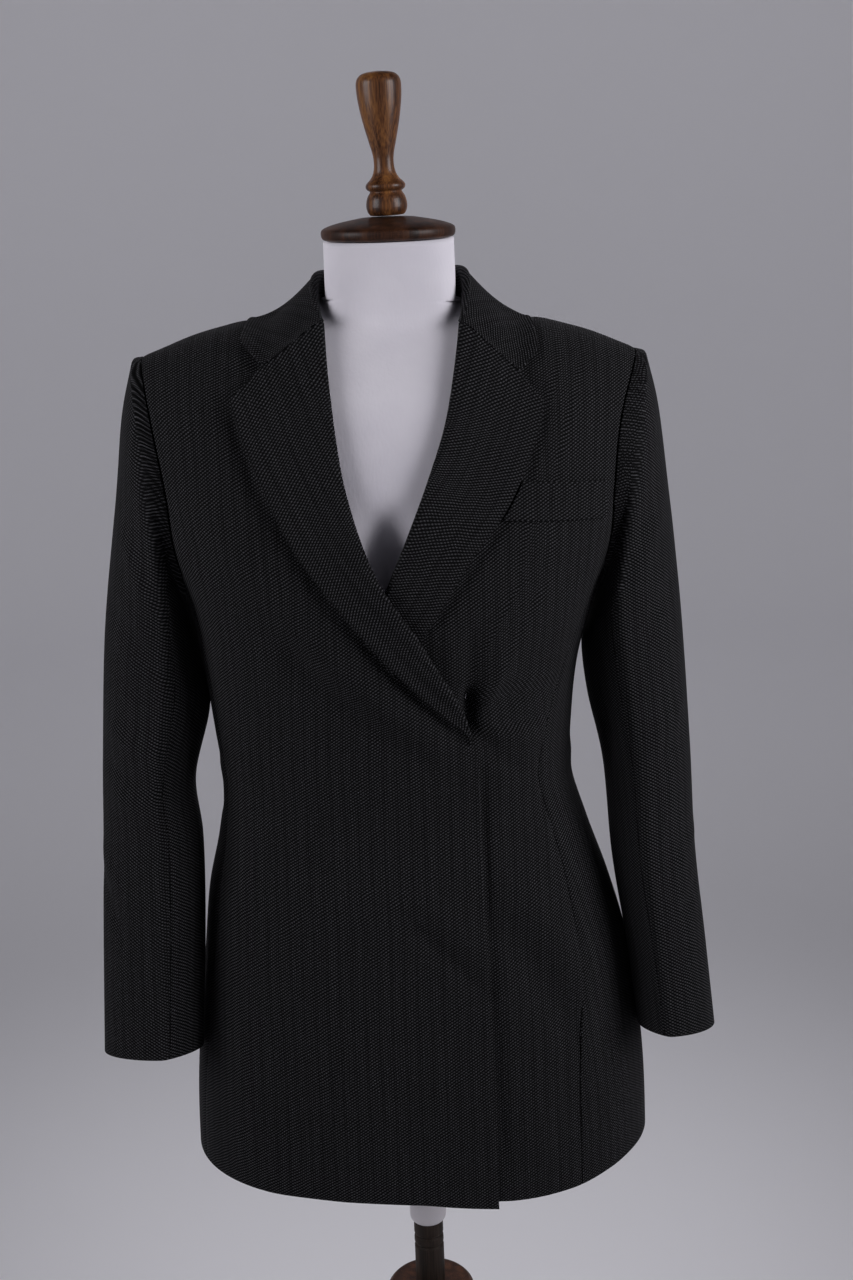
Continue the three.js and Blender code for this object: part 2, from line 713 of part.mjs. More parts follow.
/** Half width of the form at a height: the torso below the shoulder line, the neck above. */
function formHalfWidth(side, z) {
  let [low, high] = [neckHalfWidth, shoulders[side].tipX];
  for (let pass = 0; pass < 24; pass++) {
    const x = (low + high) / 2;
    if (shoulderZ(sign[side] * x) - ridgeInset(x) > z) low = x;
    else high = x;
  }
  const torso = low > neckHalfWidth ? Math.min(column(formSections, "half")(z), low) : 0;
  return blended(Math.max(0, torso), neck.halfWidth);
}

/** Point on the form at an angle from the front centre, at a height. */
function formPoint(angle, z) {
  const side = Math.sin(angle) < 0 ? "right" : "left";
  const face = Math.cos(angle) > 0 ? "front" : "back";
  const half = formHalfWidth(side, z);
  const x = half * Math.sin(angle);
  const below = THREE.MathUtils.clamp((shoulderZ(x) - ridgeInset(x) - z) / shoulderCap, 0, 1);
  const cap = Math.sqrt(1 - (1 - below) ** 2);
  const across = (1 - Math.abs(Math.sin(angle)) ** formRoundness) ** (1 / formRoundness);
  const torso = (depth[face](z) - column(formSections, "clear")(z)) * cap * across;
  const neckShare = Math.min(1, Math.abs(x) / neck.halfWidth);
  const neckDepth = (neck.halfDepth + sign[face] * neck.midY) * Math.sqrt(1 - neckShare ** 2);
  return new THREE.Vector3(x, sign[face] * blended(torso, neckDepth), z);
}

/** Closes rings of points, from the lowest up, with a flat fan at each end. */
function ringedSolid(rings) {
  const count = rings[0].length;
  const points = rings.flat();
  const centre = (ring) =>
    ring.reduce((sum, p) => sum.add(p), new THREE.Vector3()).divideScalar(count);
  points.push(centre(rings[0]), centre(rings.at(-1)));
  const triangles = [];
  for (let j = 0; j + 1 < rings.length; j++) {
    for (let i = 0; i < count; i++) {
      const next = (i + 1) % count;
      const [a, b] = [j * count + i, j * count + next];
      triangles.push([a, b, b + count], [a, b + count, a + count]);
    }
  }
  const top = (rings.length - 1) * count;
  for (let i = 0; i < count; i++) {
    const next = (i + 1) % count;
    triangles.push([points.length - 2, next, i], [points.length - 1, top + i, top + next]);
  }
  return closedGeometry(points, triangles);
}

function makeFormTorso() {
  const around = 44;
  const heights = [
    600, 640, 690, 740, 790, 840, 885, 925, 970, 1020, 1070, 1120, 1165, 1205, 1235, 1258, 1275,
    1288, 1298, 1306, 1313, 1319, 1325, 1330, 1336, 1345, 1362, neckTop,
  ];
  const rings = heights.map((z) =>
    Array.from({ length: around }, (_, i) => formPoint((2 * Math.PI * (i + 0.5)) / around, z)),
  );
  return ringedSolid(rings);
}

/** Turned solid from a chain of [radius, height] steps. */
function turned(steps, sides = 32) {
  return new THREE.LatheGeometry(
    steps.map(([r, z]) => new THREE.Vector2(r, z)),
    sides,
  ).rotateX(Math.PI / 2);
}

const neckCapProfile = [
  [0, neckTop + 0.4],
  [51, neckTop + 0.4],
  [54.5, neckTop + 3],
  [55.5, neckTop + 7],
  [54, neckTop + 10.5],
  [44, neckTop + 14],
  [28, neckTop + 17],
  [19, neckTop + 18.5],
  [0, neckTop + 18.5],
];

const finialProfile = [
  [0, 0],
  [13, 0],
  [16.5, 5],
  [17, 10],
  [15.5, 16],
  [13.5, 19.5],
  [16.3, 22.5],
  [16.3, 25],
  [12, 29],
  [8.8, 35],
  [7.9, 42],
  [9, 50],
  [12, 62],
  [15.5, 76],
  [18, 92],
  [18.4, 102],
  [17.6, 108],
  [12, 112],
  [0, 113.5],
];

const socketProfile = [
  [0, 461],
  [14, 461],
  [17.3, 466],
  [17.3, formBottom - 0.4],
  [0, formBottom - 0.4],
];

const poleProfile = [
  [0, hubTop + 0.4],
  [poleRadius, hubTop + 0.4],
  [poleRadius, 434],
  [poleRadius - 2, 436],
  [poleRadius, 438],
  [poleRadius, 444],
  [poleRadius - 2, 446],
  [poleRadius, 448],
  [poleRadius, 460.6],
  [0, 460.6],
];

const hubProfile = [
  [0, 326.4],
  [20, 326.4],
  [24, 334],
  [23, 344],
  [30, 354],
  [hubRadius, 366],
  [hubRadius, 386],
  [hubRadius - 5, hubTop],
  [0, hubTop],
];

const postProfile = [
  [0, 48.4],
  [27, 48.4],
  [27, 54],
  [20, 66],
  [17, 90],
  [19, 200],
  [17, 300],
  [19, 318],
  [19, 326],
  [0, 326],
];

const baseProfile = [
  [0, 0],
  [baseRadius - 4, 0],
  [baseRadius, 5],
  [baseRadius, 17],
  [baseRadius - 6, 24],
  [baseRadius - 22, 27],
  [60, 38],
  [38, 42],
  [34, 48],
  [0, 48],
];

// ---- The assembled part ----------------------------------------------------------------

const suiting = { color: 0x2b2a2c, roughness: 0.9, metalness: 0 };
const jersey = { color: 0xe9e8ea, roughness: 0.95, metalness: 0 };
const wood = { color: 0x5a3a22, roughness: 0.4, metalness: 0 };
const blazerOnForm = new THREE.Group();

function add(group, name, geometry, look) {
  const mesh = new THREE.Mesh(geometry, new THREE.MeshStandardMaterial(look));
  mesh.name = name;
  group.add(mesh);
  return mesh;
}

const blazer = new THREE.Group();
for (const side of ["right", "left"]) {
  add(blazer, `front_${side}`, makeFront(side), suiting);
  add(blazer, `back_${side}`, makeBack(side), suiting);
  add(blazer, `side_panel_${side}`, makeSidePanel(side), suiting);
  add(blazer, `lapel_${side}`, makeLapel(side), suiting);
  const top = makeSleevePiece(side, backSleeveSeam, frontSleeveSeam, 12);
  add(blazer, `top_sleeve_${side}`, top, suiting);
  const under = makeSleevePiece(side, frontSleeveSeam, 360 + backSleeveSeam, 9);
  add(blazer, `under_sleeve_${side}`, under, suiting);
}
add(blazer, "collar", makeCollar(), suiting);
add(blazer, "breast_welt", makeWelt(), suiting);

const form = new THREE.Group();
add(form, "form_torso", makeFormTorso(), jersey);
add(form, "pole_socket", turned(socketProfile, 24), jersey);
add(form, "neck_cap", turned(neckCapProfile, 40), wood);
const finial = add(form, "finial", turned(finialProfile, 28), wood);
finial.position.z = neckTop + 19.4;
finial.rotation.y = -0.03;

const stand = new THREE.Group();
add(stand, "pole", turned(poleProfile, 24), wood);
add(stand, "stand_hub", turned(hubProfile), wood);
add(stand, "stand_post", turned(postProfile, 24), wood);
add(stand, "stand_base", turned(baseProfile, 48), wood);

blazerOnForm.add(blazer, form, stand);
export default blazerOnForm;
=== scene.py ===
"""A wrap-over double-breasted blazer on a limbless dress form with a turned wooden pole stand.

Lengths are millimetres until a mesh is made, which turns them into metres. The origin is on the
floor below the pole, +Z is up and the front faces -Y. The wearer's right side is at -X.
"""

import math

import bpy
import numpy as np
from mathutils import Matrix, Vector


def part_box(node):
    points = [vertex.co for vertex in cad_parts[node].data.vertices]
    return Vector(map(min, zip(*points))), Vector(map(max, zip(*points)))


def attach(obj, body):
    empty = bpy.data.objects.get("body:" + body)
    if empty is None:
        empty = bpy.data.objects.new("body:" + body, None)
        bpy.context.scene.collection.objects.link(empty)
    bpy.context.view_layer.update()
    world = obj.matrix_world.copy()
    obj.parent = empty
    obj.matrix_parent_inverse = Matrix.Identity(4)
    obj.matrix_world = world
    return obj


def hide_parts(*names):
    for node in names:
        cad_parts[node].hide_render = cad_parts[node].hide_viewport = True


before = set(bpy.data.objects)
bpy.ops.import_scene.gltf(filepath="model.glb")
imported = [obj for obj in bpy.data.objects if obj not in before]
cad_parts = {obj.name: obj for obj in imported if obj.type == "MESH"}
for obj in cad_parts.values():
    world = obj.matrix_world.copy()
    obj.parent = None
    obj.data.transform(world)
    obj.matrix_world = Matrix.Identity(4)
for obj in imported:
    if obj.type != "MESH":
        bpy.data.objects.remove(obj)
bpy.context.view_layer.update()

# ---- Stand: base, post and hub ------------------------------------------------------------
# Turned hardwood under a dark glossy varnish. The post is screwed into a heavy round base, and
# the hub on top of it clamps the pole that carries the form.

MILLIMETRE = 0.001


def srgb(hex_colour):
    """Linear colour of a six-digit sRGB hex value."""
    channels = [int(hex_colour[i : i + 2], 16) / 255 for i in (0, 2, 4)]
    linear = [c / 12.92 if c <= 0.04045 else ((c + 0.055) / 1.055) ** 2.4 for c in channels]
    return (*linear, 1.0)


def new_material(name):
    """An empty material: its node tree and its Principled shader, joined to the output."""
    material = bpy.data.materials.new(name)
    material.use_nodes = True
    tree = material.node_tree
    return material, tree, tree.nodes["Principled BSDF"]


def node(tree, kind, settings=None, links=None, output=0):
    """Adds a node and gives one of its outputs.

    settings are the node's own, with a colour ramp's stops as (place, hex colour); links gives
    for each input a value or the output that feeds it.
    """
    made = tree.nodes.new(kind)
    for name, value in (settings or {}).items():
        if name != "stops":
            setattr(made, name, value)
            continue
        elements = made.color_ramp.elements
        while len(elements) < len(value):
            elements.new(0.5)
        for element, (place, colour) in zip(elements, value):
            element.position = place
            element.color = srgb(colour)
    for name, value in (links or {}).items():
        if isinstance(value, bpy.types.NodeSocket):
            tree.links.new(value, made.inputs[name])
        else:
            made.inputs[name].default_value = value
    return made.outputs[output]


def varnished_wood(name, dark, middle, light, roughness, varnish):
    """Varnished hardwood: long dark pores and soft bands run up the grain, under a clear coat.

    The pores are about 1 mm wide and the bands 8 mm, both drawn out along the piece's height.
    """
    material, tree, shader = new_material(name)
    place = node(tree, "ShaderNodeTexCoord", output="Object")
    stretched = node(
        tree, "ShaderNodeMapping", links={"Vector": place, "Scale": (900.0, 900.0, 28.0)}
    )
    pores = node(tree, "ShaderNodeTexNoise", links={"Vector": stretched, "Scale": 1.0, "Detail": 3.0})
    drawn_out = node(
        tree, "ShaderNodeMapping", links={"Vector": place, "Scale": (120.0, 120.0, 9.0)}
    )
    bands = node(tree, "ShaderNodeTexNoise", links={"Vector": drawn_out, "Scale": 1.0, "Detail": 2.0})
    band_share = node(tree, "ShaderNodeMath", {"operation": "MULTIPLY"}, {0: bands, 1: 0.55})
    figure = node(
        tree, "ShaderNodeMath", {"operation": "MULTIPLY_ADD"}, {0: pores, 1: 0.45, 2: band_share}
    )
    stops = [(0.36, dark), (0.5, middle), (0.66, light)]
    colour = node(tree, "ShaderNodeValToRGB", {"stops": stops}, {"Fac": figure})
    tree.links.new(colour, shader.inputs["Base Color"])
    bump = node(
        tree, "ShaderNodeBump", links={"Height": pores, "Strength": 0.25, "Distance": 0.0003}
    )
    tree.links.new(bump, shader.inputs["Normal"])
    shader.inputs["Roughness"].default_value = roughness
    shader.inputs["IOR"].default_value = 1.5
    shader.inputs["Specular IOR Level"].default_value = 0.25
    shader.inputs["Coat Weight"].default_value = varnish
    shader.inputs["Coat Roughness"].default_value = 0.18
    return material


def put_in_mesh(name, points, faces, material):
    """Makes an object from points in millimetres, faces as rows of point numbers."""
    mesh = bpy.data.meshes.new(name)
    mesh.from_pydata((np.asarray(points) * MILLIMETRE).tolist(), [], faces)
    mesh.materials.append(material)
    mesh.polygons.foreach_set("use_smooth", [True] * len(mesh.polygons))
    mesh.update()
    piece = bpy.data.objects.new(name, mesh)
    bpy.context.scene.collection.objects.link(piece)
    return piece


def softened(profile):
    """A profile whose corners are cut three times at a quarter of each side's length."""
    line = np.array(profile, float)
    for _ in range(3):
        near = line[:-1] * 0.75 + line[1:] * 0.25
        far = line[:-1] * 0.25 + line[1:] * 0.75
        cut = np.stack([near, far], axis=1).reshape(-1, 2)
        line = np.vstack([line[:1], cut, line[-1:]])
    return line


def ringed(name, rings, foot, head, material):
    """Joins rings of points, from the lowest up, and closes them with a fan of faces at each end.

    foot and head are the middles of the fans; without a head the top stays open.
    """
    count = rings.shape[1]
    points = np.vstack([rings.reshape(-1, 3), [foot]] + ([] if head is None else [[head]]))
    a = np.arange(count)
    b = np.roll(a, -1)
    low = (np.arange(len(rings) - 1) * count)[:, None]
    quads = np.stack([low + a, low + b, low + b + count, low + a + count], axis=-1).reshape(-1, 4)
    faces = quads.tolist() + np.stack([b, a, np.full(count, rings.size // 3)], axis=-1).tolist()
    if head is not None:
        last = (len(rings) - 1) * count
        over = np.stack([last + a, last + b, np.full(count, len(points) - 1)], axis=-1)
        faces += over.tolist()
    return put_in_mesh(name, points, faces, material)


def turned(name, profile, material, lean=0.0, foot=0.0, sides=96):
    """A profile of (radius, height) rows turned about a vertical axis.

    Each ring is radius * (cos a, sin a) at its height; lean tips the axis towards -X about the
    origin, and the piece is then raised to its foot.
    """
    line = softened(profile)
    radius, height = line[1:-1, :1], line[1:-1, 1:]
    angle = np.linspace(0, 2 * np.pi, sides, endpoint=False)
    rings = np.stack([radius * np.cos(angle), radius * np.sin(angle), height + 0 * angle], axis=-1)
    tip = [[math.cos(lean), 0, -math.sin(lean)], [0, 1, 0], [math.sin(lean), 0, math.cos(lean)]]
    low, high, rings = (
        points @ np.transpose(tip) + [0, 0, foot]
        for points in (np.array([0, 0, line[0, 1]]), np.array([0, 0, line[-1, 1]]), rings)
    )
    return ringed(name, rings, low, high, material)


def standing_for(piece, cad_node):
    """The piece stands for one CAD node, which it hides, on the one body there is."""
    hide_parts(cad_node)
    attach(piece, "root")
    return piece


# Walnut stained nearly black: warm brown figure in a dark ground, with a dull sheen.
dark_wood = varnished_wood("varnished walnut", "190d07", "351e12", "533320", 0.5, 0.12)
hub_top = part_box("stand_hub")[1].z / MILLIMETRE
base_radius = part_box("stand_base")[1].x / MILLIMETRE

base_profile = [
    (0, 0), (base_radius - 7, 0), (base_radius - 3, 0), (base_radius, 3), (base_radius, 8),
    (base_radius, 17), (base_radius - 2, 21), (base_radius - 8, 24), (base_radius - 22, 27),
    (110, 32), (60, 38), (42, 41), (36, 44), (34, 48), (33, 48), (0, 48),
]
stand_base = turned("base", base_profile, dark_wood, sides=160)
standing_for(stand_base, "stand_base")

post_profile = [
    (0, 48.4), (26, 48.4), (27, 49), (27, 54), (25, 58), (20, 66), (17.5, 76), (17, 90), (18.5, 150),
    (19, 200), (18, 260), (17, 300), (17.5, 312), (19, 318), (19, 325.6), (18.6, 326), (0, 326),
]
standing_for(turned("post", post_profile, dark_wood), "stand_post")

hub_profile = [
    (0, 326.4), (19, 326.4), (20.5, 327), (24, 334), (24, 338), (23, 344), (25, 350), (32, 355),
    (41, 364), (42, 368), (42, 384), (41.5, 387), (38, hub_top - 0.6), (36, hub_top), (0, hub_top),
]
standing_for(turned("hub", hub_profile, dark_wood), "stand_hub")

# ---- Pole and its socket ------------------------------------------------------------------
# A brown turned pole with two fine grooves near its top goes into a white socket, a moulded
# sleeve under the form.

# Stained beech under a dry oil finish: dark brown, close-grained and nearly matte.
pole_wood = varnished_wood("oiled beech, stained", "15100c", "2b211a", "3e3128", 0.6, 0.0)
pole_profile = [
    (0, hub_top + 0.4), (13.6, hub_top + 0.4), (14, hub_top + 1), (14, 432), (14, 434), (12.4, 435.4),
    (12.4, 436.6), (14, 438), (14, 440), (14, 444), (12.4, 445.4), (12.4, 446.6), (14, 448), (14, 450),
    (14, 460), (13.6, 460.6), (0, 460.6),
]
standing_for(turned("pole_shaft", pole_profile, pole_wood), "pole")

# Moulded ABS: a smooth white skin with the faint bloom, 1 mm across, that a sanded mould leaves.
moulded, tree, shader = new_material("moulded white plastic")
shader.inputs["Base Color"].default_value = srgb("dcd8dc")
shader.inputs["Roughness"].default_value = 0.42
place = node(tree, "ShaderNodeTexCoord", output="Object")
bloom = node(tree, "ShaderNodeTexNoise", links={"Vector": place, "Scale": 900.0, "Detail": 2.0})
skin = node(tree, "ShaderNodeBump", links={"Height": bloom, "Strength": 0.1, "Distance": 0.0002})
tree.links.new(skin, shader.inputs["Normal"])

form_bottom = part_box("form_torso")[0].z / MILLIMETRE
socket_profile = [
    (0, 461), (13, 461), (14.5, 461.3), (16.8, 464), (17.3, 467), (17.3, 470),
    (17.3, form_bottom - 1), (17, form_bottom - 0.5), (0, form_bottom - 0.5),
]
standing_for(turned("socket", socket_profile, moulded), "pole_socket")

# ---- Dress form ---------------------------------------------------------------------------
# A limbless torso of papier mache under stretched white cotton jersey, pulled down over it in
# one piece and closed under the foot. It stands a little inside the blazer, whose own measures
# give its depth: half widths and depths of the body at each height, and the shoulder seams.

BODY = {
    "z": [540, 620, 690, 760, 820, 870, 920, 970, 1030, 1086, 1130, 1180, 1236, 1288, 1345],
    "right": [211, 208, 200, 191, 183, 172, 166, 170, 176, 184, 199, 211, 222, 232, 240],
    "left": [208, 206, 200, 190, 174, 157, 143, 144, 151.5, 169, 187, 199, 209, 222, 232],
    "front": [139, 138, 135, 130, 122, 114, 110, 112, 121, 129, 130, 124, 111, 94, 78],
    "back": [121, 122, 121, 115, 103, 91, 82, 82, 90, 98, 102, 104, 103, 97, 84],
}
SHOULDERS = {
    "right": {"neck_z": 1338.0, "tip_x": 210.0, "tip_z": 1292.0},
    "left": {"neck_z": 1335.0, "tip_x": 203.0, "tip_z": 1284.0},
}
SHOULDER_CAP = 80.0  # height over which front and back round over to the shoulder seam
NECK_HALF = 62.0  # neck point of the shoulder seam, from the centre line
CLOTH = 2.0  # thickness of the worsted with its interlining
ROUNDNESS = 2.3  # exponent of the body's sections
BESIDE_NECK = {"x": 102, "half": 15, "depth": 7.0}  # hollow of the shoulder line
PAD_CROWN = {"x": 165, "half": 28, "height": 2.5}
SIGN = {"right": -1, "left": 1, "front": -1, "back": 1}


def lerp(a, b, t):
    """The value t of the way from a to b."""
    return a + (b - a) * t


def smooth(low, high, t):
    """0 below low, 1 above high, and a soft S between them."""
    share = np.clip((t - low) / (high - low), 0, 1)
    return share * share * (3 - 2 * share)


def bell(off, width):
    """1 in the middle, and falling away on both sides as e to the -(off / width) squared."""
    return np.exp(-((off / width) ** 2))


def curve(table, column, at, key="z"):
    """A column of a table at any height: a cubic between each two rows.

    Its slope at a row is that of the straight line between the rows on either side.
    """
    xs = np.array(table[key], float)
    ys = np.array(table[column], float)
    slopes = np.empty(len(xs))
    slopes[1:-1] = (ys[2:] - ys[:-2]) / (xs[2:] - xs[:-2])
    slopes[0] = (ys[1] - ys[0]) / (xs[1] - xs[0])
    slopes[-1] = (ys[-1] - ys[-2]) / (xs[-1] - xs[-2])
    i = np.clip(np.searchsorted(xs, at) - 1, 0, len(xs) - 2)
    span = xs[i + 1] - xs[i]
    t = np.clip((at - xs[i]) / span, 0, 1)
    rise = t * t * (3 - 2 * t)
    start = t * (1 - t) ** 2 * span * slopes[i]
    end = t * t * (1 - t) * span * slopes[i + 1]
    return ys[i] * (1 - rise) + ys[i + 1] * rise + start - end


def half_width(x, z):
    """Half width of the body's section on the side where x is."""
    return np.where(np.asarray(x) < 0, curve(BODY, "right", z), curve(BODY, "left", z))


def shoulder_height(x):
    """Height of the shoulder line above x: level at the neck, then straight to the tip.

    A bell-shaped hollow beside the neck and a lower one upside down, the pad's crown, shape it.
    """
    right, left = SHOULDERS["right"], SHOULDERS["left"]
    across = np.clip((x + NECK_HALF) / (2 * NECK_HALF), 0, 1)
    fall_right = (right["neck_z"] - right["tip_z"]) / (right["tip_x"] - NECK_HALF)
    fall_left = (left["neck_z"] - left["tip_z"]) / (left["tip_x"] - NECK_HALF)
    fall = np.where(x < 0, fall_right, fall_left) * np.maximum(0, np.abs(x) - NECK_HALF)
    hollow = BESIDE_NECK["depth"] * bell(np.abs(x) - BESIDE_NECK["x"], BESIDE_NECK["half"])
    crown = PAD_CROWN["height"] * bell(np.abs(x) - PAD_CROWN["x"], PAD_CROWN["half"])
    return lerp(right["neck_z"], left["neck_z"], across) - fall - hollow + crown


FORM = {
    "z": [600, 700, 820, 920, 1030, 1086, 1180, 1250, 1290, 1330, 1380],
    "half": [186, 184, 160, 132, 140, 150, 160, 170, 168, 150, 150],
    "clear": [14, 14, 14, 12, 12, 10, 8, 5, 4, 4, 4],
}
NECK_WIDE = 54.0
NECK_DEEP = 52.0
NECK_MIDDLE = -2.0
NECK_SQUARE = 3.6  # exponent of the neck's front section at its foot
OVAL = 2.0  # the same at its top and behind
NECK_TURNS_OVAL = (1325, 1392)  # heights between which the one becomes the other
NECK_BLEND = 10  # how sharply neck and torso meet
FORM_ROUNDNESS = 2.6
VALLEY = {"x": -9, "half": 19, "depth": 30, "foot": (1010, 1060), "top": (1120, 1190)}


def blended(a, b):
    """The larger of two sizes, rounded over where they are nearly equal."""
    return (a**NECK_BLEND + b**NECK_BLEND) ** (1 / NECK_BLEND)


def ridge_inset(x):
    """How far the form lies below the cloth's shoulder line: more towards the neck."""
    clear_at_tip, more_at_neck = 0.8, 1.5
    return CLOTH + clear_at_tip + more_at_neck * (1 - smooth(66, 115, np.abs(x)))


def form_half_width(side, z):
    """Half width at a height: the torso below the shoulder line, the neck above it.

    The place where the shoulder line has that height is found by halving an interval.
    """
    low = np.full(z.shape, NECK_HALF)
    high = np.full(z.shape, SHOULDERS[side]["tip_x"])
    for _ in range(24):
        x = (low + high) / 2
        under = shoulder_height(SIGN[side] * x) - ridge_inset(x) > z
        low = np.where(under, x, low)
        high = np.where(under, high, x)
    torso = np.where(low > NECK_HALF, np.minimum(curve(FORM, "half", z), low), 0)
    return blended(torso, NECK_WIDE)


def form_point(angle, z):
    """Point on the form at an angle from the front centre.

    Sections are superellipses; the depth rounds over to the shoulder line like a quarter
    circle, blends into the oval neck, and dips in a valley between the two breasts.
    """
    half = np.where(np.sin(angle) < 0, form_half_width("right", z), form_half_width("left", z))
    x = half * np.sin(angle)
    below = np.clip((shoulder_height(x) - ridge_inset(x) - z) / SHOULDER_CAP, 0, 1)
    cap = np.sqrt(1 - (1 - below) ** 2)
    across = (1 - np.abs(np.sin(angle)) ** FORM_ROUNDNESS) ** (1 / FORM_ROUNDNESS)
    in_front = np.cos(angle) > 0
    depth = np.where(in_front, curve(BODY, "front", z), curve(BODY, "back", z))
    valley = bell(x - VALLEY["x"], VALLEY["half"])
    valley = valley * (1 - smooth(*VALLEY["top"], z)) * smooth(*VALLEY["foot"], z)
    depth = depth - curve(FORM, "clear", z) - np.where(in_front, VALLEY["depth"] * valley, 0)
    share = np.minimum(1, np.abs(x) / NECK_WIDE)
    toward = np.where(in_front, -1, 1)
    square = np.where(in_front, lerp(NECK_SQUARE, OVAL, smooth(*NECK_TURNS_OVAL, z)), OVAL)
    neck = (NECK_DEEP + toward * NECK_MIDDLE) * (1 - share**square) ** (1 / square)
    return np.stack([x, toward * blended(depth * cap * across, neck), z], axis=-1)


# Jersey is matte and soft: fine ribs of stitches 1.1 mm apart, drawn twice as coarse so that
# they show, a little cloudiness where it is stretched, and a faint down at grazing angles.
jersey, tree, shader = new_material("cotton jersey, stretched")
place = node(tree, "ShaderNodeTexCoord", output="Object")
clouds = node(tree, "ShaderNodeTexNoise", links={"Vector": place, "Scale": 14.0, "Detail": 3.0})
whites = [(0.3, "e6e3ec"), (0.7, "f3f0f7")]
cloudy = node(tree, "ShaderNodeValToRGB", {"stops": whites}, {"Fac": clouds})
tree.links.new(cloudy, shader.inputs["Base Color"])
upright = node(tree, "ShaderNodeMapping", links={"Vector": place, "Scale": (450, 450, 160)})
ribs = node(tree, "ShaderNodeTexNoise", links={"Vector": upright, "Scale": 1.0, "Detail": 2.0})
knit = node(tree, "ShaderNodeBump", links={"Height": ribs, "Strength": 0.35, "Distance": 0.0005})
tree.links.new(knit, shader.inputs["Normal"])
shader.inputs["Roughness"].default_value = 0.95
shader.inputs["Sheen Weight"].default_value = 0.15
shader.inputs["Sheen Roughness"].default_value = 0.5

neck_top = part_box("form_torso")[1].z / MILLIMETRE
levels = np.concatenate([
    np.arange(form_bottom, 1250, 7),
    np.arange(1250, 1348, 2.2),
    np.arange(1348, neck_top, 4),
    [neck_top],
])
bearings = np.linspace(0, 2 * np.pi, 160, endpoint=False)
torso_points = form_point(*np.meshgrid(bearings, levels))
torso_foot, torso_head = torso_points[0].mean(axis=0), torso_points[-1].mean(axis=0)
form_torso = ringed("dress_form", torso_points, torso_foot, torso_head, jersey)
standing_for(form_torso, "form_torso")

# ---- Neck cap and finial ------------------------------------------------------------------
# A round wooden cap closes the neck, with a turned finial screwed into it: a small baluster
# under a slender vase. Both are stained walnut under varnish, the vase rubbed lighter.

cap_profile = [
    (0, neck_top + 0.4), (51, neck_top + 0.4), (54.5, neck_top + 2), (55.5, neck_top + 5),
    (55.5, neck_top + 8), (54, neck_top + 10.5), (44, neck_top + 14), (28, neck_top + 17),
    (19, neck_top + 18.5), (0, neck_top + 18.5),
]
standing_for(turned("neck_cap_wood", cap_profile, dark_wood, sides=128), "neck_cap")

finial_foot = neck_top + 19.4
finial_profile = [
    (0, 0), (13, 0), (15, 1.5), (16.7, 5), (17, 9), (15.8, 15), (13.2, 18.6), (13, 19.6),
    (15.6, 21), (16.5, 23.5), (15.6, 26), (12, 29), (9, 34), (8, 41), (8.4, 48), (11.5, 60),
    (15.2, 75), (17.9, 91), (18.5, 101), (18.2, 106), (16, 110), (11, 112.6), (0, 113.5),
]
# The same walnut rubbed back to its own warm brown, with a brighter varnish.
vase_wood = varnished_wood("varnished walnut, rubbed", "2a150a", "653f24", "936336", 0.42, 0.3)
finial = turned("finial_wood", finial_profile, vase_wood, lean=0.03, foot=finial_foot)
standing_for(finial, "finial")

# ---- Back panels --------------------------------------------------------------------------
# Two backs of pinhead worsted, sewn together down the centre, without a vent. Each runs from
# the hem to the shoulder seam and neckline, and its outer edge is a panel seam and the armhole.

LAYER = 2.9  # from the face of one layer of cloth to the face of the next
HEM = 560.0
HEM_LINES = {
    "right": {
        "x": [-215, -160, -130, -75, -5, 30, 64],
        "z": [568, 567, 567, 569.5, 566.5, 562, 557.5],
    },
    "left": {
        "x": [-64, 48, 64, 130, 170, 190, 215],
        "z": [573, 572, 563, 561.5, 567, 570, 570],
    },
    "back": {
        "x": [-215, -120, -40, 0, 50, 130, 215],
        "z": [568, 564, 561, 562, 560, 564, 570],
    },
}
ARMPIT = 1086.0
ARMHOLE_FOOT = 1112.0
NECK_DROP = 20.0  # centre back neck below the neck points
HALF_GAP = 0.04  # each piece keeps this far back from a seam
SEAM_DROP = 0.00001  # how far below the shoulder line a panel ends; its slope there is level
RIM = 0.8  # radius of a turned or seamed edge

ARMHOLES = {
    "right": {"z": [1112, 1140, 1180, 1236, 1294], "x": [183, 188, 190, 198, 210.5]},
    "left": {"z": [1112, 1140, 1180, 1236, 1286], "x": [171, 176, 178, 185, 203.5]},
}
SIDE_SEAMS = {
    "right": {
        "z": [540, 800, 905, 1060, 1112],
        "front": [52, 50, 38, 45, 46],
        "back": [52, 48, 40, 44, 46],
    },
    "left": {
        "z": [540, 655, 738, 819, 865, 911, 944, 1030, 1112],
        "front": [112, 108, 98, 85, 77, 75, 77, 66, 46],
        "back": [52, 51, 49, 45, 41, 40, 40, 44, 46],
    },
}


def reach(face, x, z):
    """Depth of a section at x: depth * (1 - (x / half width)^n)^(1/n)."""
    across = np.minimum(1, np.abs(x) / half_width(x, z))
    return curve(BODY, face, z) * (1 - across**ROUNDNESS) ** (1 / ROUNDNESS)


def surface_y(face, x, z):
    """Depth of the body's surface, which rounds over to the shoulder line like a quarter circle."""
    below = np.clip((shoulder_height(x) - z) / SHOULDER_CAP, 0, 1)
    return SIGN[face] * reach(face, x, z) * np.sqrt(1 - (1 - below) ** 2)


def surface_x(side, y, z):
    """Distance of the surface from the centre line at y from the side line."""
    depth = np.where(y < 0, curve(BODY, "front", z), curve(BODY, "back", z))
    share = np.minimum(1, np.abs(y) / depth)
    return SIGN[side] * curve(BODY, side, z) * (1 - share**ROUNDNESS) ** (1 / ROUNDNESS)


def unit(vectors):
    """Each vector at length one."""
    return vectors / np.maximum(np.linalg.norm(vectors, axis=-1, keepdims=True), 1e-12)


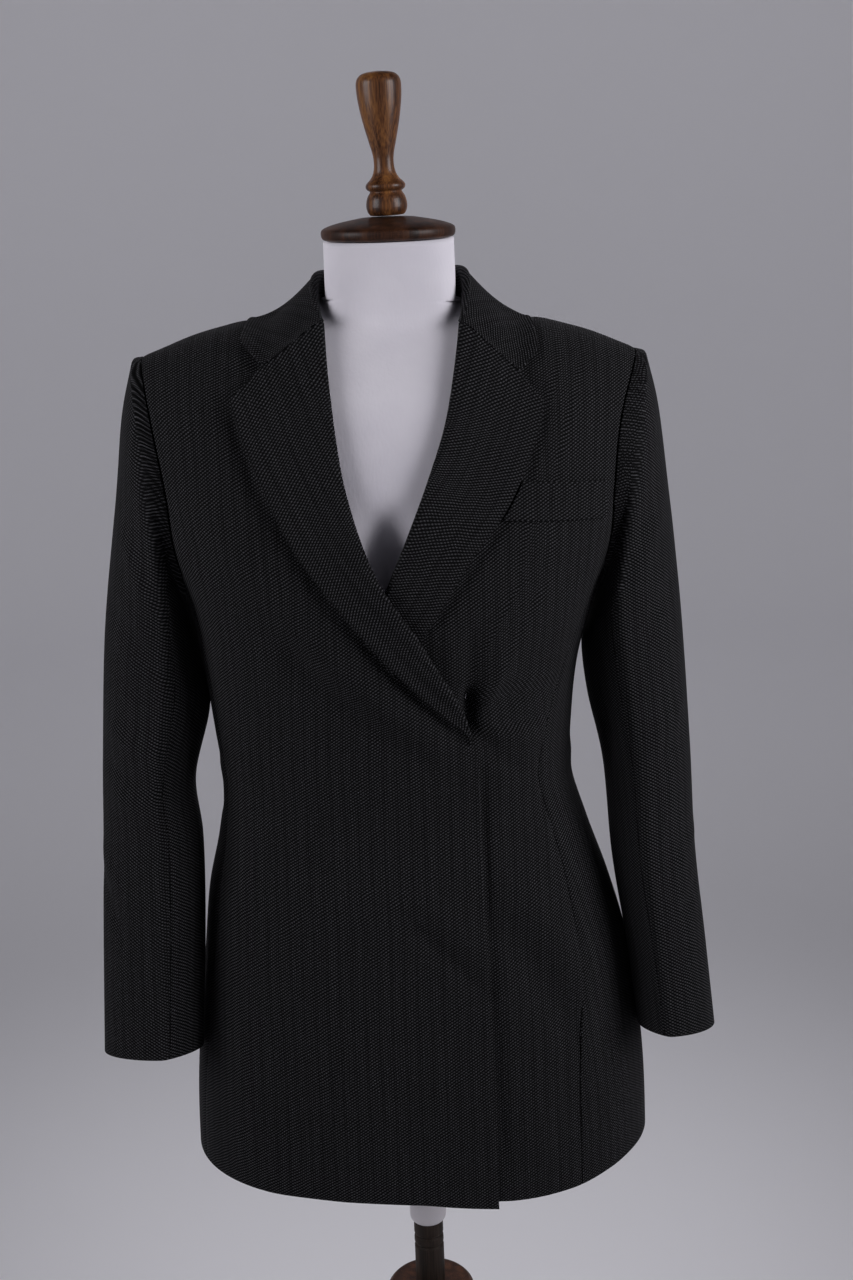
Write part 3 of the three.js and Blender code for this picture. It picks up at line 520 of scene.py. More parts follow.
def on_body(face, x, z, lift):
    """Points on the front or back, lift outside the body's surface along its normal."""
    y = surface_y(face, x, z)
    slope_x = surface_y(face, x + 0.5, z) - surface_y(face, x - 0.5, z)
    slope_z = 2 * (y - surface_y(face, x, z - 0.5))
    normal = unit(np.stack([-slope_x, np.ones_like(y), -slope_z], axis=-1))
    return np.stack([x, y, z], axis=-1) + SIGN[face] * normal * np.asarray(lift)[..., None]


def folds(rows, a, b):
    """Sum of soft ridges and troughs over places (a, b), in millimetres.

    A row is a0, b0, a1, b1, half width, height, bow. Its cross-section is a bell round the line
    between its two ends, bowed sideways in a parabola, and it fades out towards both ends.
    """
    total = np.zeros(np.broadcast(a, b).shape)
    for a0, b0, a1, b1, width, height, bow in rows:
        length = math.hypot(a1 - a0, b1 - b0)
        da, db = (a1 - a0) / length, (b1 - b0) / length
        along = ((a - a0) * da + (b - b0) * db) / length
        off = (b - b0) * da - (a - a0) * db - bow * 4 * along * (1 - along)
        fade = smooth(-0.12, 0.3, along) * (1 - smooth(0.7, 1.12, along))
        total += height * bell(off, width) * fade
    return total


RIM_STEPS = 6  # how many of a strip's steps lie close to each rim


def steps(length, spacing):
    """Shares from 0 to 1 for a strip of that length: evenly spaced, and closer at both rims."""
    near = np.array([0, 0.12, 0.4, 0.8, 1.3, 2.2]) / length
    middle = np.linspace(0, 1, max(3, round(length / spacing)) + 1)
    middle = middle[(middle > near[-1] * 1.4) & (middle < 1 - near[-1] * 1.4)]
    return np.concatenate([near, middle, 1 - near[::-1]])


def lengths(points, axis):
    """Distance from the start of each row (axis 1) or column (axis 0) to each of its points."""
    moves = np.linalg.norm(np.diff(points, axis=axis), axis=-1)
    start = np.zeros_like(np.take(moves, [0], axis=axis))
    return np.concatenate([start, np.cumsum(moves, axis=axis)], axis=axis)


def upright_grain(points, turn, start, anchor=0):
    """Cloth coordinates of a panel: how far across from an upright thread, and how high up.

    Across is the level distance along each row from its anchor column, where it is start. Up
    is the distance up each column, without the part of it that runs sideways.
    """
    level = points * [1, 1, 0]
    across = lengths(level, 1)
    across = start + turn * (across - across[:, [anchor]])
    rows = np.gradient(level, axis=1)
    facing = unit(np.stack([-rows[..., 1], rows[..., 0]], axis=-1))
    climb = np.diff(points, axis=0)
    outwards = (climb[..., :2] * (facing[1:] + facing[:-1]) / 2).sum(axis=-1)
    up = np.cumsum(np.hypot(climb[..., 2], outwards), axis=0)
    up = np.concatenate([np.zeros_like(up[:1]), up], axis=0) + points[:1, :, 2] - HEM
    return np.stack([across, up], axis=-1)


SEAM_HALF = 3.5  # half width of the groove that a seam draws the cloth into
HEM_STEP = 1.1  # how much deeper the inner face lies over a turned-up hem


def cloth_shell(name, middle, turn, grain, sunk=(0, 0), hem_turned=0.0):
    """A closed shell of cloth round a grid of points in the middle of its thickness.

    Both faces lie half a thickness off, along the surface's normal (row direction x column
    direction, times turn). Towards a rim that half thickness shrinks like a quarter circle to
    nothing, so the faces meet in a round edge. sunk is how deep a seam draws the cloth in at
    the first and last columns, as a bell. hem_turned is the height of a turned-up hem, where
    the inner face lies deeper.
    """
    normal = unit(np.cross(np.gradient(middle, axis=1), np.gradient(middle, axis=0)) * turn)
    from_left = lengths(middle, 1)
    to_right = from_left[:, [-1]] - from_left
    from_foot = lengths(middle, 0)
    rim = np.minimum.reduce([from_left, to_right, from_foot, from_foot[[-1]] - from_foot])
    drawn = sunk[0] * bell(from_left, SEAM_HALF) + sunk[1] * bell(to_right, SEAM_HALF)
    middle = middle - normal * (drawn * smooth(0, 12, from_foot))[..., None]
    roundness = np.sqrt(1 - (1 - np.clip(rim / RIM, 0, 1)) ** 2)[..., None]
    half = CLOTH / 2 * roundness
    step = np.zeros_like(from_foot)
    if hem_turned:
        step = HEM_STEP * (1 - smooth(hem_turned - 1, hem_turned + 2, from_foot))
    outer = middle + normal * half
    inner = middle - normal * (half + step[..., None] * roundness)

    high, wide = middle.shape[:2]
    outer_index = np.arange(high * wide).reshape(high, wide)
    inner_index = outer_index.copy()
    inside = np.arange((high - 2) * (wide - 2)).reshape(high - 2, wide - 2)
    inner_index[1:-1, 1:-1] = high * wide + inside
    points = np.vstack([outer.reshape(-1, 3), inner[1:-1, 1:-1].reshape(-1, 3)])
    threads = np.vstack([grain.reshape(-1, 2), grain[1:-1, 1:-1].reshape(-1, 2)]) * MILLIMETRE

    def quads(index):
        corners = [index[:-1, :-1], index[:-1, 1:], index[1:, 1:], index[1:, :-1]]
        return np.stack(corners, axis=-1).reshape(-1, 4)

    front = quads(outer_index)[:, :: turn]
    behind = quads(inner_index)[:, :: -turn]
    faces = np.vstack([front, behind])
    piece = put_in_mesh(name, points, faces.tolist(), suiting)
    layer = piece.data.uv_layers.new(name="grain")
    layer.data.foreach_set("uv", threads[faces.ravel()].ravel())
    return piece


# Worsted wool with a pinhead weave: black ground, and light grey points in a diamond lattice
# that run together into twill lines. It reads as matte charcoal with a dry, fine-grained face.
# Real points lie about 1.5 mm apart, too fine to show, so the lattice is drawn at 4.2 by 2.8 mm,
# every other column half a step higher.
PINHEAD_WIDE = 4.2
PINHEAD_HIGH = 2.8
STRIPE = 11.0  # spacing of the faint shadow stripes in the warp
THREAD_NOISE = {  # cells to a metre across and up the cloth, and detail
    "unevenness": (70, 70, 0.0),
    "streaks": (520, 11, 1.0),
    "slubs": (420, 420, 1.0),
}

suiting, tree, shader = new_material("pinhead worsted wool")
threads_at = node(tree, "ShaderNodeUVMap", {"uv_map": "grain"})
split = node(tree, "ShaderNodeSeparateXYZ", links={0: threads_at}).node
weave = {"x": split.outputs[0], "y": split.outputs[1]}
for name, (wide, high, detail) in THREAD_NOISE.items():
    scaled = node(
        tree, "ShaderNodeMapping", links={"Vector": threads_at, "Scale": (wide, high, 1)}
    )
    weave[name] = node(
        tree, "ShaderNodeTexNoise", links={"Vector": scaled, "Scale": 1.0, "Detail": detail}
    )
# The weave in steps of arithmetic: each line names its result, what is done, and to what. A
# wave goes from 1 down to 0 and back as its phase grows by one: (1 + cos(2 pi phase)) / 2.
for name, operation, *inputs in (
    ("shift", "MULTIPLY", "unevenness", 0.4),
    ("columns", "DIVIDE", "x", PINHEAD_WIDE * MILLIMETRE),
    ("across", "ADD", "columns", "shift"),
    ("rows", "DIVIDE", "y", PINHEAD_HIGH * MILLIMETRE),
    ("upward", "SUBTRACT", "rows", "shift"),
    ("twill phase", "SUBTRACT", "across", "upward"),
    ("counter phase", "ADD", "across", "upward"),
    ("stripe phase", "DIVIDE", "x", STRIPE * MILLIMETRE),
    *(
        step
        for wave in ("twill", "counter", "stripe")
        for step in (
            (wave + " angle", "MULTIPLY", wave + " phase", 2 * math.pi),
            (wave + " cosine", "COSINE", wave + " angle"),
            (wave, "MULTIPLY_ADD", wave + " cosine", 0.5, 0.5),
        )
    ),
    ("dots", "POWER", "counter", 1.3),
    ("dotted", "MULTIPLY_ADD", "dots", 0.88, 0.12),
    ("twill lines", "POWER", "twill", 2.3),
    ("points", "MULTIPLY", "twill lines", "dotted"),
    ("warp", "MULTIPLY_ADD", "streaks", 0.7, 0.5),
    ("weft", "MULTIPLY_ADD", "slubs", 0.7, 0.65),
    ("threads", "MULTIPLY", "warp", "weft"),
    ("thin stripe", "POWER", "stripe", 6.0),
    ("shade", "MULTIPLY_ADD", "thin stripe", -0.25, 1.0),
    ("strength", "MULTIPLY", "threads", "shade"),
    ("shown", "MULTIPLY", "points", "strength"),
):
    fed = {place: weave.get(value, value) for place, value in enumerate(inputs)}
    weave[name] = node(tree, "ShaderNodeMath", {"operation": operation}, fed)
woven = node(
    tree,
    "ShaderNodeMix",
    {"data_type": "RGBA"},
    {0: weave["shown"], 6: srgb("070708"), 7: srgb("5b5b5e")},
    output=2,
)
tree.links.new(woven, shader.inputs["Base Color"])
relief = node(
    tree, "ShaderNodeBump", links={"Height": weave["points"], "Strength": 0.5, "Distance": 0.0004}
)
tree.links.new(relief, shader.inputs["Normal"])
shader.inputs["Roughness"].default_value = 0.88
shader.inputs["Specular IOR Level"].default_value = 0.08
shader.inputs["Sheen Weight"].default_value = 0.02
shader.inputs["Sheen Roughness"].default_value = 0.45
shader.inputs["Sheen Tint"].default_value = srgb("d8d4da")

# Shares of a panel's rows: below the foot of the armhole, and below the shoulder's rounding.
FOOT_SHARE = 0.56
CAP_SHARE = 0.74
CAP_ARC = 125.0  # length of the cloth that rounds over to the shoulder seam
SETTLING_ROUNDS = 14


def panel_rows(spacing):
    """Shares up a panel, evenly spaced in millimetres in each of its three parts."""
    below = steps(ARMHOLE_FOOT - HEM, spacing)[:-RIM_STEPS] * FOOT_SHARE
    chest = np.linspace(FOOT_SHARE, CAP_SHARE, 34)
    cap = CAP_SHARE + (1 - CAP_SHARE) * steps(CAP_ARC, spacing)[RIM_STEPS:]
    return np.concatenate([below, chest, cap])


def panel_height(v, x, drop, hem):
    """Height of a panel's row v above x: straight steps, then a quarter turn over the shoulder."""
    cap_start = shoulder_height(x) - SHOULDER_CAP
    low = lerp(curve(HEM_LINES[hem], "z", x, "x"), ARMHOLE_FOOT, v / FOOT_SHARE)
    chest = lerp(ARMHOLE_FOOT, cap_start, (v - FOOT_SHARE) / (CAP_SHARE - FOOT_SHARE))
    turn = (v - CAP_SHARE) / (1 - CAP_SHARE) * np.pi / 2
    cap = cap_start + (SHOULDER_CAP - drop(x)) * np.sin(turn)
    return np.where(v < FOOT_SHARE, low, np.where(v < CAP_SHARE, chest, cap))


def bearing_of(x, z):
    """Place across a section as the angle whose sine is x / half width."""
    return np.arcsin(np.clip(x / half_width(x, z), -1, 1))


def panel_middle(face, hem, inner, outer, lift, drop, columns, rows):
    """Middle surface of a front or back between two boundaries, given as x at each height.

    Columns are spaced evenly in bearing; a row's height and its place across depend on each
    other, so both are worked out again a few times until they settle.
    """
    u, v = np.meshgrid(columns, rows)
    x = lerp(inner(ARMPIT), outer(ARMPIT), u)
    for _ in range(SETTLING_ROUNDS):
        z = panel_height(v, x, drop, hem)
        low, high = inner(z), outer(z)
        bearing = lerp(bearing_of(low, z), bearing_of(high, z), u)
        x = half_width(bearing, z) * np.sin(bearing)
    return on_body(face, x, z, lift(x, z) - CLOTH / 2)


def panel_outer(side, face, z):
    """Outer boundary of a front or back: its panel seam, and above that the armhole."""
    seam = surface_x(side, SIGN[face] * (curve(SIDE_SEAMS[side], face, z) + HALF_GAP), z)
    armhole = SIGN[side] * (curve(ARMHOLES[side], "x", z) - HALF_GAP)
    return np.where(z > ARMHOLE_FOOT, armhole, seam)


def back_neck_dip(x):
    """The back neckline dips between the neck points, in a parabola."""
    return NECK_DROP * np.maximum(0, 1 - (x / NECK_HALF) ** 2) + SEAM_DROP


# Soft folds of the back, as x from the centre and height: shallow waves fall from the small of
# the back over the hips, a long one crosses each shoulder blade towards its armhole, and a few
# short ones gather above the waist. The two halves differ, as cloth does.
BACK_FOLDS = [
    (-58, 905, -74, 585, 24, 3.2, 4), (-24, 890, -20, 575, 17, -2.2, 0),
    (30, 900, 36, 580, 20, 2.6, -3), (74, 880, 92, 590, 22, -2.4, 5),
    (112, 860, 132, 600, 20, 2.2, 0), (-112, 870, -134, 610, 21, -2.0, 0),
    (-20, 968, -118, 938, 9, 2.2, 6), (-28, 945, -122, 908, 8, -1.8, 5),
    (-16, 1000, -104, 1002, 9, -1.6, 7), (22, 975, 108, 936, 9, 2.0, -6),
    (18, 950, 112, 905, 8, -1.7, -5), (26, 1006, 92, 1010, 10, 1.5, -5),
    (-72, 1072, -158, 1188, 15, 2.6, 8), (-58, 1110, -138, 1222, 13, -1.8, 6),
    (66, 1078, 146, 1180, 14, 2.4, -8), (50, 1120, 128, 1226, 13, -1.6, -6),
    (-8, 1300, -60, 1255, 8, -1.2, 3), (10, 1298, 64, 1250, 8, -1.1, -3),
]


def back_drape(x, z):
    """How far the back's cloth stands out: its folds, faded out before seams and neckline."""
    inside = smooth(0, 26, np.abs(x)) * 0.75 + 0.25
    return folds(BACK_FOLDS, x, z) * inside * smooth(0, 40, shoulder_height(x) - z)


# Flat width and height of what shows of each back, and its area, in metres.
BACK_CUTS = {"right": ((0.24, 0.84), 0.156), "left": ((0.235, 0.835), 0.148)}
back_levels = panel_rows(4.2)
for side in ("right", "left"):
    sign = SIGN[side]
    panel = panel_middle(
        "back",
        "back",
        lambda z: np.full_like(np.asarray(z, float), sign * HALF_GAP),
        lambda z: panel_outer(side, "back", z),
        back_drape,
        back_neck_dip,
        steps(175.0, 4.2),
        back_levels,
    )
    grain = upright_grain(panel, -sign, -sign * HALF_GAP)
    piece = cloth_shell(f"back_panel_{side}", panel, -sign, grain, (0.7, 0.7), 38.0)
    standing_for(piece, f"back_{side}")
    flat, area = BACK_CUTS[side]

# ---- Side panels --------------------------------------------------------------------------
# A narrow panel under each arm joins front and back, and takes in the waist. Its top is the
# lowest arc of the armhole.


def armhole_arc(y):
    """Height of the armhole's lowest arc at y from the side line: half an ellipse."""
    far = curve(SIDE_SEAMS["right"], "front", ARMHOLE_FOOT)
    share = np.minimum(1, np.abs(y) / far)
    return ARMHOLE_FOOT - (ARMHOLE_FOOT - ARMPIT) * np.sqrt(1 - share**2)


# Folds of the side panels, as y from the side line and height.
SIDE_FOLDS = {
    "right": [
        (-6, 880, 4, 590, 15, 2.0, 3), (22, 960, -22, 925, 9, 1.5, 3),
        (-20, 905, 24, 880, 9, -1.4, 2),
    ],
    "left": [
        (-30, 870, -40, 590, 16, 2.0, 3), (14, 880, 20, 600, 14, -1.6, 2),
        (-46, 950, 16, 915, 9, 1.6, 4),
    ],
}


def side_panel_middle(side, columns, rows):
    """Middle surface of a side panel between its two seams."""
    u, v = np.meshgrid(columns, rows)
    z = lerp(HEM, ARMPIT, v)
    for _ in range(SETTLING_ROUNDS):
        front = curve(SIDE_SEAMS[side], "front", z) - HALF_GAP
        back = curve(SIDE_SEAMS[side], "back", z) - HALF_GAP
        y = lerp(-front, back, u)
        x = surface_x(side, y, z)
        in_front = curve(HEM_LINES[side], "z", x, "x")
        behind = curve(HEM_LINES["back"], "z", x, "x")
        z = lerp(np.where(y < 0, in_front, behind), armhole_arc(y) - HALF_GAP, v)
    inside = np.minimum(1, 4 * np.minimum(u, 1 - u)) * smooth(ARMPIT, ARMPIT - 90, z)
    out = folds(SIDE_FOLDS[side], y, z) * inside
    slope_y = surface_x(side, y + 0.5, z) - surface_x(side, y - 0.5, z)
    slope_z = surface_x(side, y, z + 0.5) - surface_x(side, y, z - 0.5)
    normal = unit(np.stack([np.ones_like(y), -slope_y, -slope_z], axis=-1) * SIGN[side])
    return np.stack([x, y, z], axis=-1) + normal * (out - CLOTH / 2)[..., None]


# Flat width and height of each side panel, and its area, in metres.
SIDE_CUTS = {"right": ((0.107, 0.55), 0.0515), "left": ((0.191, 0.56), 0.079)}
for side in ("right", "left"):
    sign = SIGN[side]
    flat, area = SIDE_CUTS[side]
    panel = side_panel_middle(side, steps(flat[0] / MILLIMETRE, 4.2), steps(530.0, 4.2))
    grain = upright_grain(panel, sign, 0.0, anchor=panel.shape[1] // 2)
    piece = cloth_shell(f"side_panel_cloth_{side}", panel, sign, grain, (0.7, 0.7), 38.0)
    standing_for(piece, f"side_panel_{side}")

# ---- Fronts -------------------------------------------------------------------------------
# The wearer's right front wraps over the left one and is pinned inside, so no button shows.
# Above the break each front ends at its roll line, where the same cloth turns over as lapel.

BREAK = 978.0
OVERLAP = 60.0
FRONT_EDGE = {"z": [540, 760, 905, 930, 955, 978], "x": [64, 60, 57.8, 57.3, 56, 52.5]}
ROLL_LINES = {
    "right": {
        "z": [978, 1000, 1025, 1050, 1075, 1112, 1142, 1180, 1214, 1265, 1316],
        "x": [52.5, 46.5, 35, 21.5, 8.5, -15, -29.5, -41, -47.5, -53, -57],
    },
    "left": {
        "z": [978, 1040, 1114, 1154, 1197, 1237, 1275, 1312],
        "x": [-58, -42, -9, 10, 28, 42.5, 51, 57.5],
    },
}

# Folds of the fronts, as x and height. The wrap pulls a long soft roll along the lapel from
# the chest to the break, and a crease below the waist. On the left front two folds spread from
# the pinch beside the break, and below the waist the skirts hang in faint upright waves.
FRONT_FOLDS = [
    (-108, 1116, 46, 955, 15, 4.6, -4), (-116, 1084, 20, 958, 11, -3.2, -3),
    (-150, 1075, -60, 985, 16, 1.6, -4), (-14, 832, 61, 752, 7, -3.6, 2),
    (-2, 850, 62, 782, 10, 2.6, 2), (58, 1004, 84, 1062, 8, 3.2, -4),
    (76, 1000, 118, 1050, 12, -1.6, 3), (54, 1000, 118, 968, 8, 2.4, -4),
    (58, 985, 100, 940, 7, -1.8, -3), (58, 842, 142, 688, 16, -5.0, 4),
    (84, 850, 160, 716, 14, 3.2, 4), (-150, 730, -160, 585, 15, 1.8, 0),
    (-112, 760, -118, 585, 17, -1.8, 3), (-66, 740, -64, 580, 18, 1.9, -3),
    (-18, 700, -14, 575, 14, -1.3, 0), (96, 660, 100, 580, 14, 1.5, 0),
    (126, 690, 132, 600, 11, -1.4, 0), (-128, 905, -60, 880, 9, 1.5, 4),
    (-134, 872, -50, 858, 9, -1.4, 3), (70, 905, 124, 890, 8, 1.3, -3),
    (-172, 1150, -128, 1108, 10, -1.6, 0), (-168, 1190, -120, 1130, 13, 1.4, 2),
    (160, 1140, 118, 1100, 10, -1.5, 0), (96, 1150, 158, 1128, 12, 1.2, 3),
]
PINCH = [(51, 982, 52, 1026, 6, -9, 0), (52, 1004, 57, 1082, 9, -3.6, 0)]

# Where a lapel, a collar end or the upper front lies on a front, its edge presses a hollow into
# the cloth below, just outside itself.
PRESSED = {
    "right": [
        (-134, 1264, -107, 1180, 6, -3.4, 0), (-109, 1192, -53, 1098, 7, -3.8, 0),
        (-64, 1118, 12, 1020, 7, -4.6, 0), (-98, 1289, -140, 1281, 6, -3.6, 0),
        (-4, 1040, 44, 984, 6, -3.8, 0),
    ],
    "left": [
        (122, 1254, 98, 1184, 4, -1.6, 0), (102, 1192, 49, 1114, 4, -1.6, 0),
        (58, 1126, 21, 1078, 4, -1.6, 0), (96, 1276, 126, 1262, 4, -1.8, 0),
        (60, 958, 64, 760, 4.5, -2.4, 0), (65, 800, 69, 580, 4.5, -2.2, 0),
    ],
}


def front_inner(side, z):
    """Inner boundary of a front: its edge below the break, its roll line above."""
    edge = curve(FRONT_EDGE, "x", z) if side == "right" else np.full_like(z, -OVERLAP)
    return np.where(z > BREAK, curve(ROLL_LINES[side], "x", z), edge)


WRAP_CLEAR = 0.4  # air between the layers of the wrap
WRAP_RISE = (-60, -6)  # from the left front's edge, where the right front rises over it


def wrap_lift(x, z):
    """How far the right front lies out, to clear the left front and, lower, the left lapel.

    It rises over the left front's edge, by a second layer from just below the break, and
    falls back to the body above the crossing of the two fronts.
    """
    over = smooth(*WRAP_RISE, x - front_inner("left", z))
    lapel = smooth(890, 950, z)
    closed = 1 - smooth(ARMHOLE_FOOT, 1165, z)
    return (LAYER + WRAP_CLEAR) * (1 + lapel) * over * closed


def front_waves(x, z):
    """The folds of the fronts, faded out towards the shoulder seams."""
    return folds(FRONT_FOLDS, x, z) * smooth(0, 45, shoulder_height(x) - z)


def front_drape(side, x, z):
    """How far a front's cloth stands out: its folds, and the right one's wrap."""
    return front_waves(x, z) + (wrap_lift(x, z) if side == "right" else folds(PINCH, x, z))


# Flat width and height of each front without its lapel, and its area, in metres.
FRONT_CUTS = {"right": ((0.295, 0.843), 0.185), "left": ((0.265, 0.837), 0.152)}
front_levels = panel_rows(3.6)
for side in ("right", "left"):
    sign = SIGN[side]
    panel = panel_middle(
        "front",
        side,
        lambda z: front_inner(side, z),
        lambda z: panel_outer(side, "front", z),
        lambda x, z: front_drape(side, x, z) + folds(PRESSED[side], x, z),
        lambda x: np.full_like(x, SEAM_DROP),
        steps(200.0, 3.6),
        front_levels,
    )
    grain = upright_grain(panel, sign, panel[:, [0], 0])
    piece = cloth_shell(f"front_panel_{side}", panel, sign, grain, (0, 0.7), 38.0)
    standing_for(piece, f"front_{side}")
    flat, area = FRONT_CUTS[side]

# ---- Lapels -------------------------------------------------------------------------------
# Each lapel is the front's own facing, turned over along the roll line. It rolls softly rather
# than being pressed flat, and its edge is closed by a seam turned just under. A notch parts it
# from the collar.

LAPELS = {
    "right": {
        "edge": {
            "z": [978, 990, 1003, 1041, 1080, 1112, 1144, 1190, 1230, 1261],
            "x": [52, 47, 34, -1, -32, -58, -80, -102, -118, -128],
        },
        "notch": (-104, 1285.5),
        "collar": (-122, 1302.5),
    },
    "left": {
        "edge": {
            "z": [978, 1030, 1081, 1132, 1172, 1214, 1252],
            "x": [-56, -16, 21, 54, 85, 106, 119],
        },
        "notch": (100.5, 1275.5),
        "collar": (117, 1289),
    },
}
NOTCH_SHARE = 0.68  # where the notch lies along a lapel's upper edge and a collar's end
ROLL = 2.6  # radius of the roll, to the middle of the cloth
CROWN = 1.6  # how much higher than its roll the upper lapel stands
LAPEL_WIDE = 82.0
LAPEL_HIGH = 360.0
BELOW_COLLAR = 0.0008  # share of its height that a lapel keeps back from the collar's end
SLACK = {"right": 5.0, "left": 1.4}  # how far each lapel's edge stands off the front


def along(chain, share):
    """A place on a chain of (share, x, z) corners."""
    places = np.array(chain, float)
    return np.interp(share, places[:, 0], places[:, 1]), np.interp(share, places[:, 0], places[:, 2])


def lapel_place(side, u, v):
    """Place (x, z) on a lapel: u from its roll line to its edge, v up to its gorge.

    Rows join the roll line and the edge at equal shares of their heights; towards the top
    they bend to the chain from roll line over notch to corner.
    """
    edge = LAPELS[side]["edge"]
    roll_x, roll_z = ROLL_LINES[side]["x"][-1], ROLL_LINES[side]["z"][-1]
    corner_x, corner_z = edge["x"][-1], edge["z"][-1]
    row_roll = lerp(BREAK + 5, roll_z, v)
    row_edge = lerp(BREAK + 1, corner_z, v)
    top = [(0, roll_x, roll_z), (NOTCH_SHARE, *LAPELS[side]["notch"]), (1, corner_x, corner_z)]
    top_x, top_z = along(top, u)
    near_top = 7
    bend = v**near_top
    x = lerp(curve(ROLL_LINES[side], "x", row_roll), curve(edge, "x", row_edge), u)
    z = lerp(row_roll, row_edge, u)
    return (
        x + bend * (top_x - lerp(roll_x, corner_x, u)),
        z + bend * (top_z - lerp(roll_z, corner_z, u)),
    )


def lapel_lift(side, u, z):
    """Lift of a lapel's face over the body: it falls from its roll to lie on the front."""
    free = smooth(1100, 1165, z)
    open_low = smooth(BREAK, BREAK + 60, z) if side == "right" else free
    crown = lerp(LAYER, 2 * ROLL, open_low) + CROWN * free
    slack = SLACK[side] * smooth(0.5, 1, u) * smooth(1000, 1060, z) * (0.4 + 0.6 * free)
    return LAYER + (crown - LAYER) * (1 - smooth(0, 0.62, u)) + slack


def lapel_middle(side, v_list):
    """Middle surface of a lapel: half a turn of roll, then the lapel out to its edge.

    The roll's section is a half circle that starts on the front's own edge and swings towards
    the centre, with the lapel's lift at the roll line as its diameter.
    """
    u_list = steps(LAPEL_WIDE, 2.6)[RIM_STEPS:]
    u, v = np.meshgrid(np.concatenate([[0.0], u_list]), v_list)
    x, z = lapel_place(side, u, v)
    base = front_drape(side, x, z) if side == "right" else front_waves(x, z)
    lift = base + lapel_lift(side, u, z)
    flat = on_body("front", x, z, lift - CLOTH / 2)
    start = on_body("front", x[:, :1], z[:, :1], base[:, :1] - CLOTH / 2)
    rise = flat[:, :1] - start
    radius = np.linalg.norm(rise, axis=-1, keepdims=True) / 2
    upwards = unit(rise)
    outwards = flat[:, 2:3] - flat[:, :1]
    outwards = unit(outwards - upwards * (outwards * upwards).sum(-1, keepdims=True))
    shares = np.array([0, 0.03, 0.08, 0.15, 0.24, 0.34, 0.45, 0.56, 0.67, 0.78, 0.89])
    turn = shares[None, :, None] * np.pi
    roll = start + rise * (1 - np.cos(turn)) / 2 - outwards * radius * np.sin(turn)
    return np.concatenate([roll, flat], axis=1)


def edge_grain(points, edge):
    """Cloth coordinates beside an edge: distance from it, and how far along it.

    Both are measured in the front's plane (x, z) to the nearest of many places on the edge,
    which is carried on straight past both of its ends.
    """
    heights = np.linspace(edge["z"][0], edge["z"][-1], 240)
    line = np.stack([curve(edge, "x", heights), heights], axis=-1)
    before = line[0] - (line[8] - line[0]) * np.linspace(6, 0.1, 40)[:, None]
    after = line[-1] + (line[-1] - line[-9]) * np.linspace(0.1, 8, 50)[:, None]
    line = np.vstack([before, line, after])
    at = np.concatenate([[0], np.cumsum(np.linalg.norm(np.diff(line, axis=0), axis=-1))])
    direction = unit(np.gradient(line, axis=0))
    flat = points[..., [0, 2]].reshape(-1, 2)
    nearest = ((flat[:, None, :] - line[None]) ** 2).sum(-1).argmin(axis=1)
    offset = flat - line[nearest]
    heading = direction[nearest]
    up = at[nearest] + (offset * heading).sum(-1)
    across = offset[:, 0] * heading[:, 1] - offset[:, 1] * heading[:, 0]
    return np.stack([across, up], axis=-1).reshape(*points.shape[:-1], 2)


for side in ("right", "left"):
    panel = lapel_middle(side, steps(LAPEL_HIGH, 2.8) * (1 - BELOW_COLLAR))
    grain = edge_grain(panel, LAPELS[side]["edge"])
    piece = cloth_shell(f"lapel_facing_{side}", panel, SIGN[side], grain)
    standing_for(piece, f"lapel_{side}")

# ---- Collar -------------------------------------------------------------------------------
# One piece of the same worsted over an undercollar: a stand sewn into the neckline, a fold,
# and a leaf that falls over the back neck seam. Its ends make the upper side of each notch.

STATIONS = {
    "at": [0, 0.2, 0.4, 0.6, 0.8, 1],
    "seam_x": [0, 34, 54, 61, 59.5, 58.5],
    "fold_x": [0, 34, 53.5, 61.5, 63, 59.5],
    "fold_y": [62, 53, 29, 0, -27, -52],
    "fold_z": [1352, 1353, 1355, 1354, 1342, 1322],
    "leaf_x": [0, 50, 86, 105, 113, 121],
    "leaf_z": [1300, 1301, 1308, 1324, 1314, 1303],
}
SHOULDER_AT = 0.6  # the station at the shoulder seam
LEAF_LIFT = LAYER + 1.1
LEAF_SAG = 4.0  # how far the leaf hangs in between its fold and its edge
END_INWARDS = 3.0  # how far the fold's front ends lie in from the lapels' rolls
FOLD_RADIUS = 3.2  # radius of the fold behind the neck; it tightens towards the front ends
FOLD_TIGHTEST = 0.4
SEAM_INWARDS = 1.3  # how far the stand's foot lies in from the neckline
FRONT_FOOT = -50  # where the neckline's front ends lie, forward of the shoulder seam


def shoulder_top(x, y):
    """Height of the body's surface above (x, y), found in rounds, close to the shoulder line."""
    z = shoulder_height(x)
    for _ in range(10):
        depth = np.where(y < 0, reach("front", x, z), reach("back", x, z))
        share = np.minimum(0.98, np.abs(y) / depth)
        z = shoulder_height(x) - SHOULDER_CAP * (1 - np.sqrt(1 - share**2))
    return z


def on_shoulder(x, y, lift):
    """Points above (x, y), lift outside the surface near the shoulder line."""
    slope_x = shoulder_top(x + 0.5, y) - shoulder_top(x - 0.5, y)
    slope_y = shoulder_top(x, y + 0.5) - shoulder_top(x, y - 0.5)
    normal = unit(np.stack([-slope_x, -slope_y, np.ones_like(slope_x)], axis=-1))
    return np.stack([x, y, shoulder_top(x, y)], axis=-1) + normal * np.asarray(lift)[..., None]


station_faces = ["back", "back", "back", "back", "front", "front"]
STATIONS["leaf_y"] = [
    0.0 if at == SHOULDER_AT else float(surface_y(face, np.float64(x), np.float64(z)))
    for at, face, x, z in zip(STATIONS["at"], station_faces, STATIONS["leaf_x"], STATIONS["leaf_z"])
]


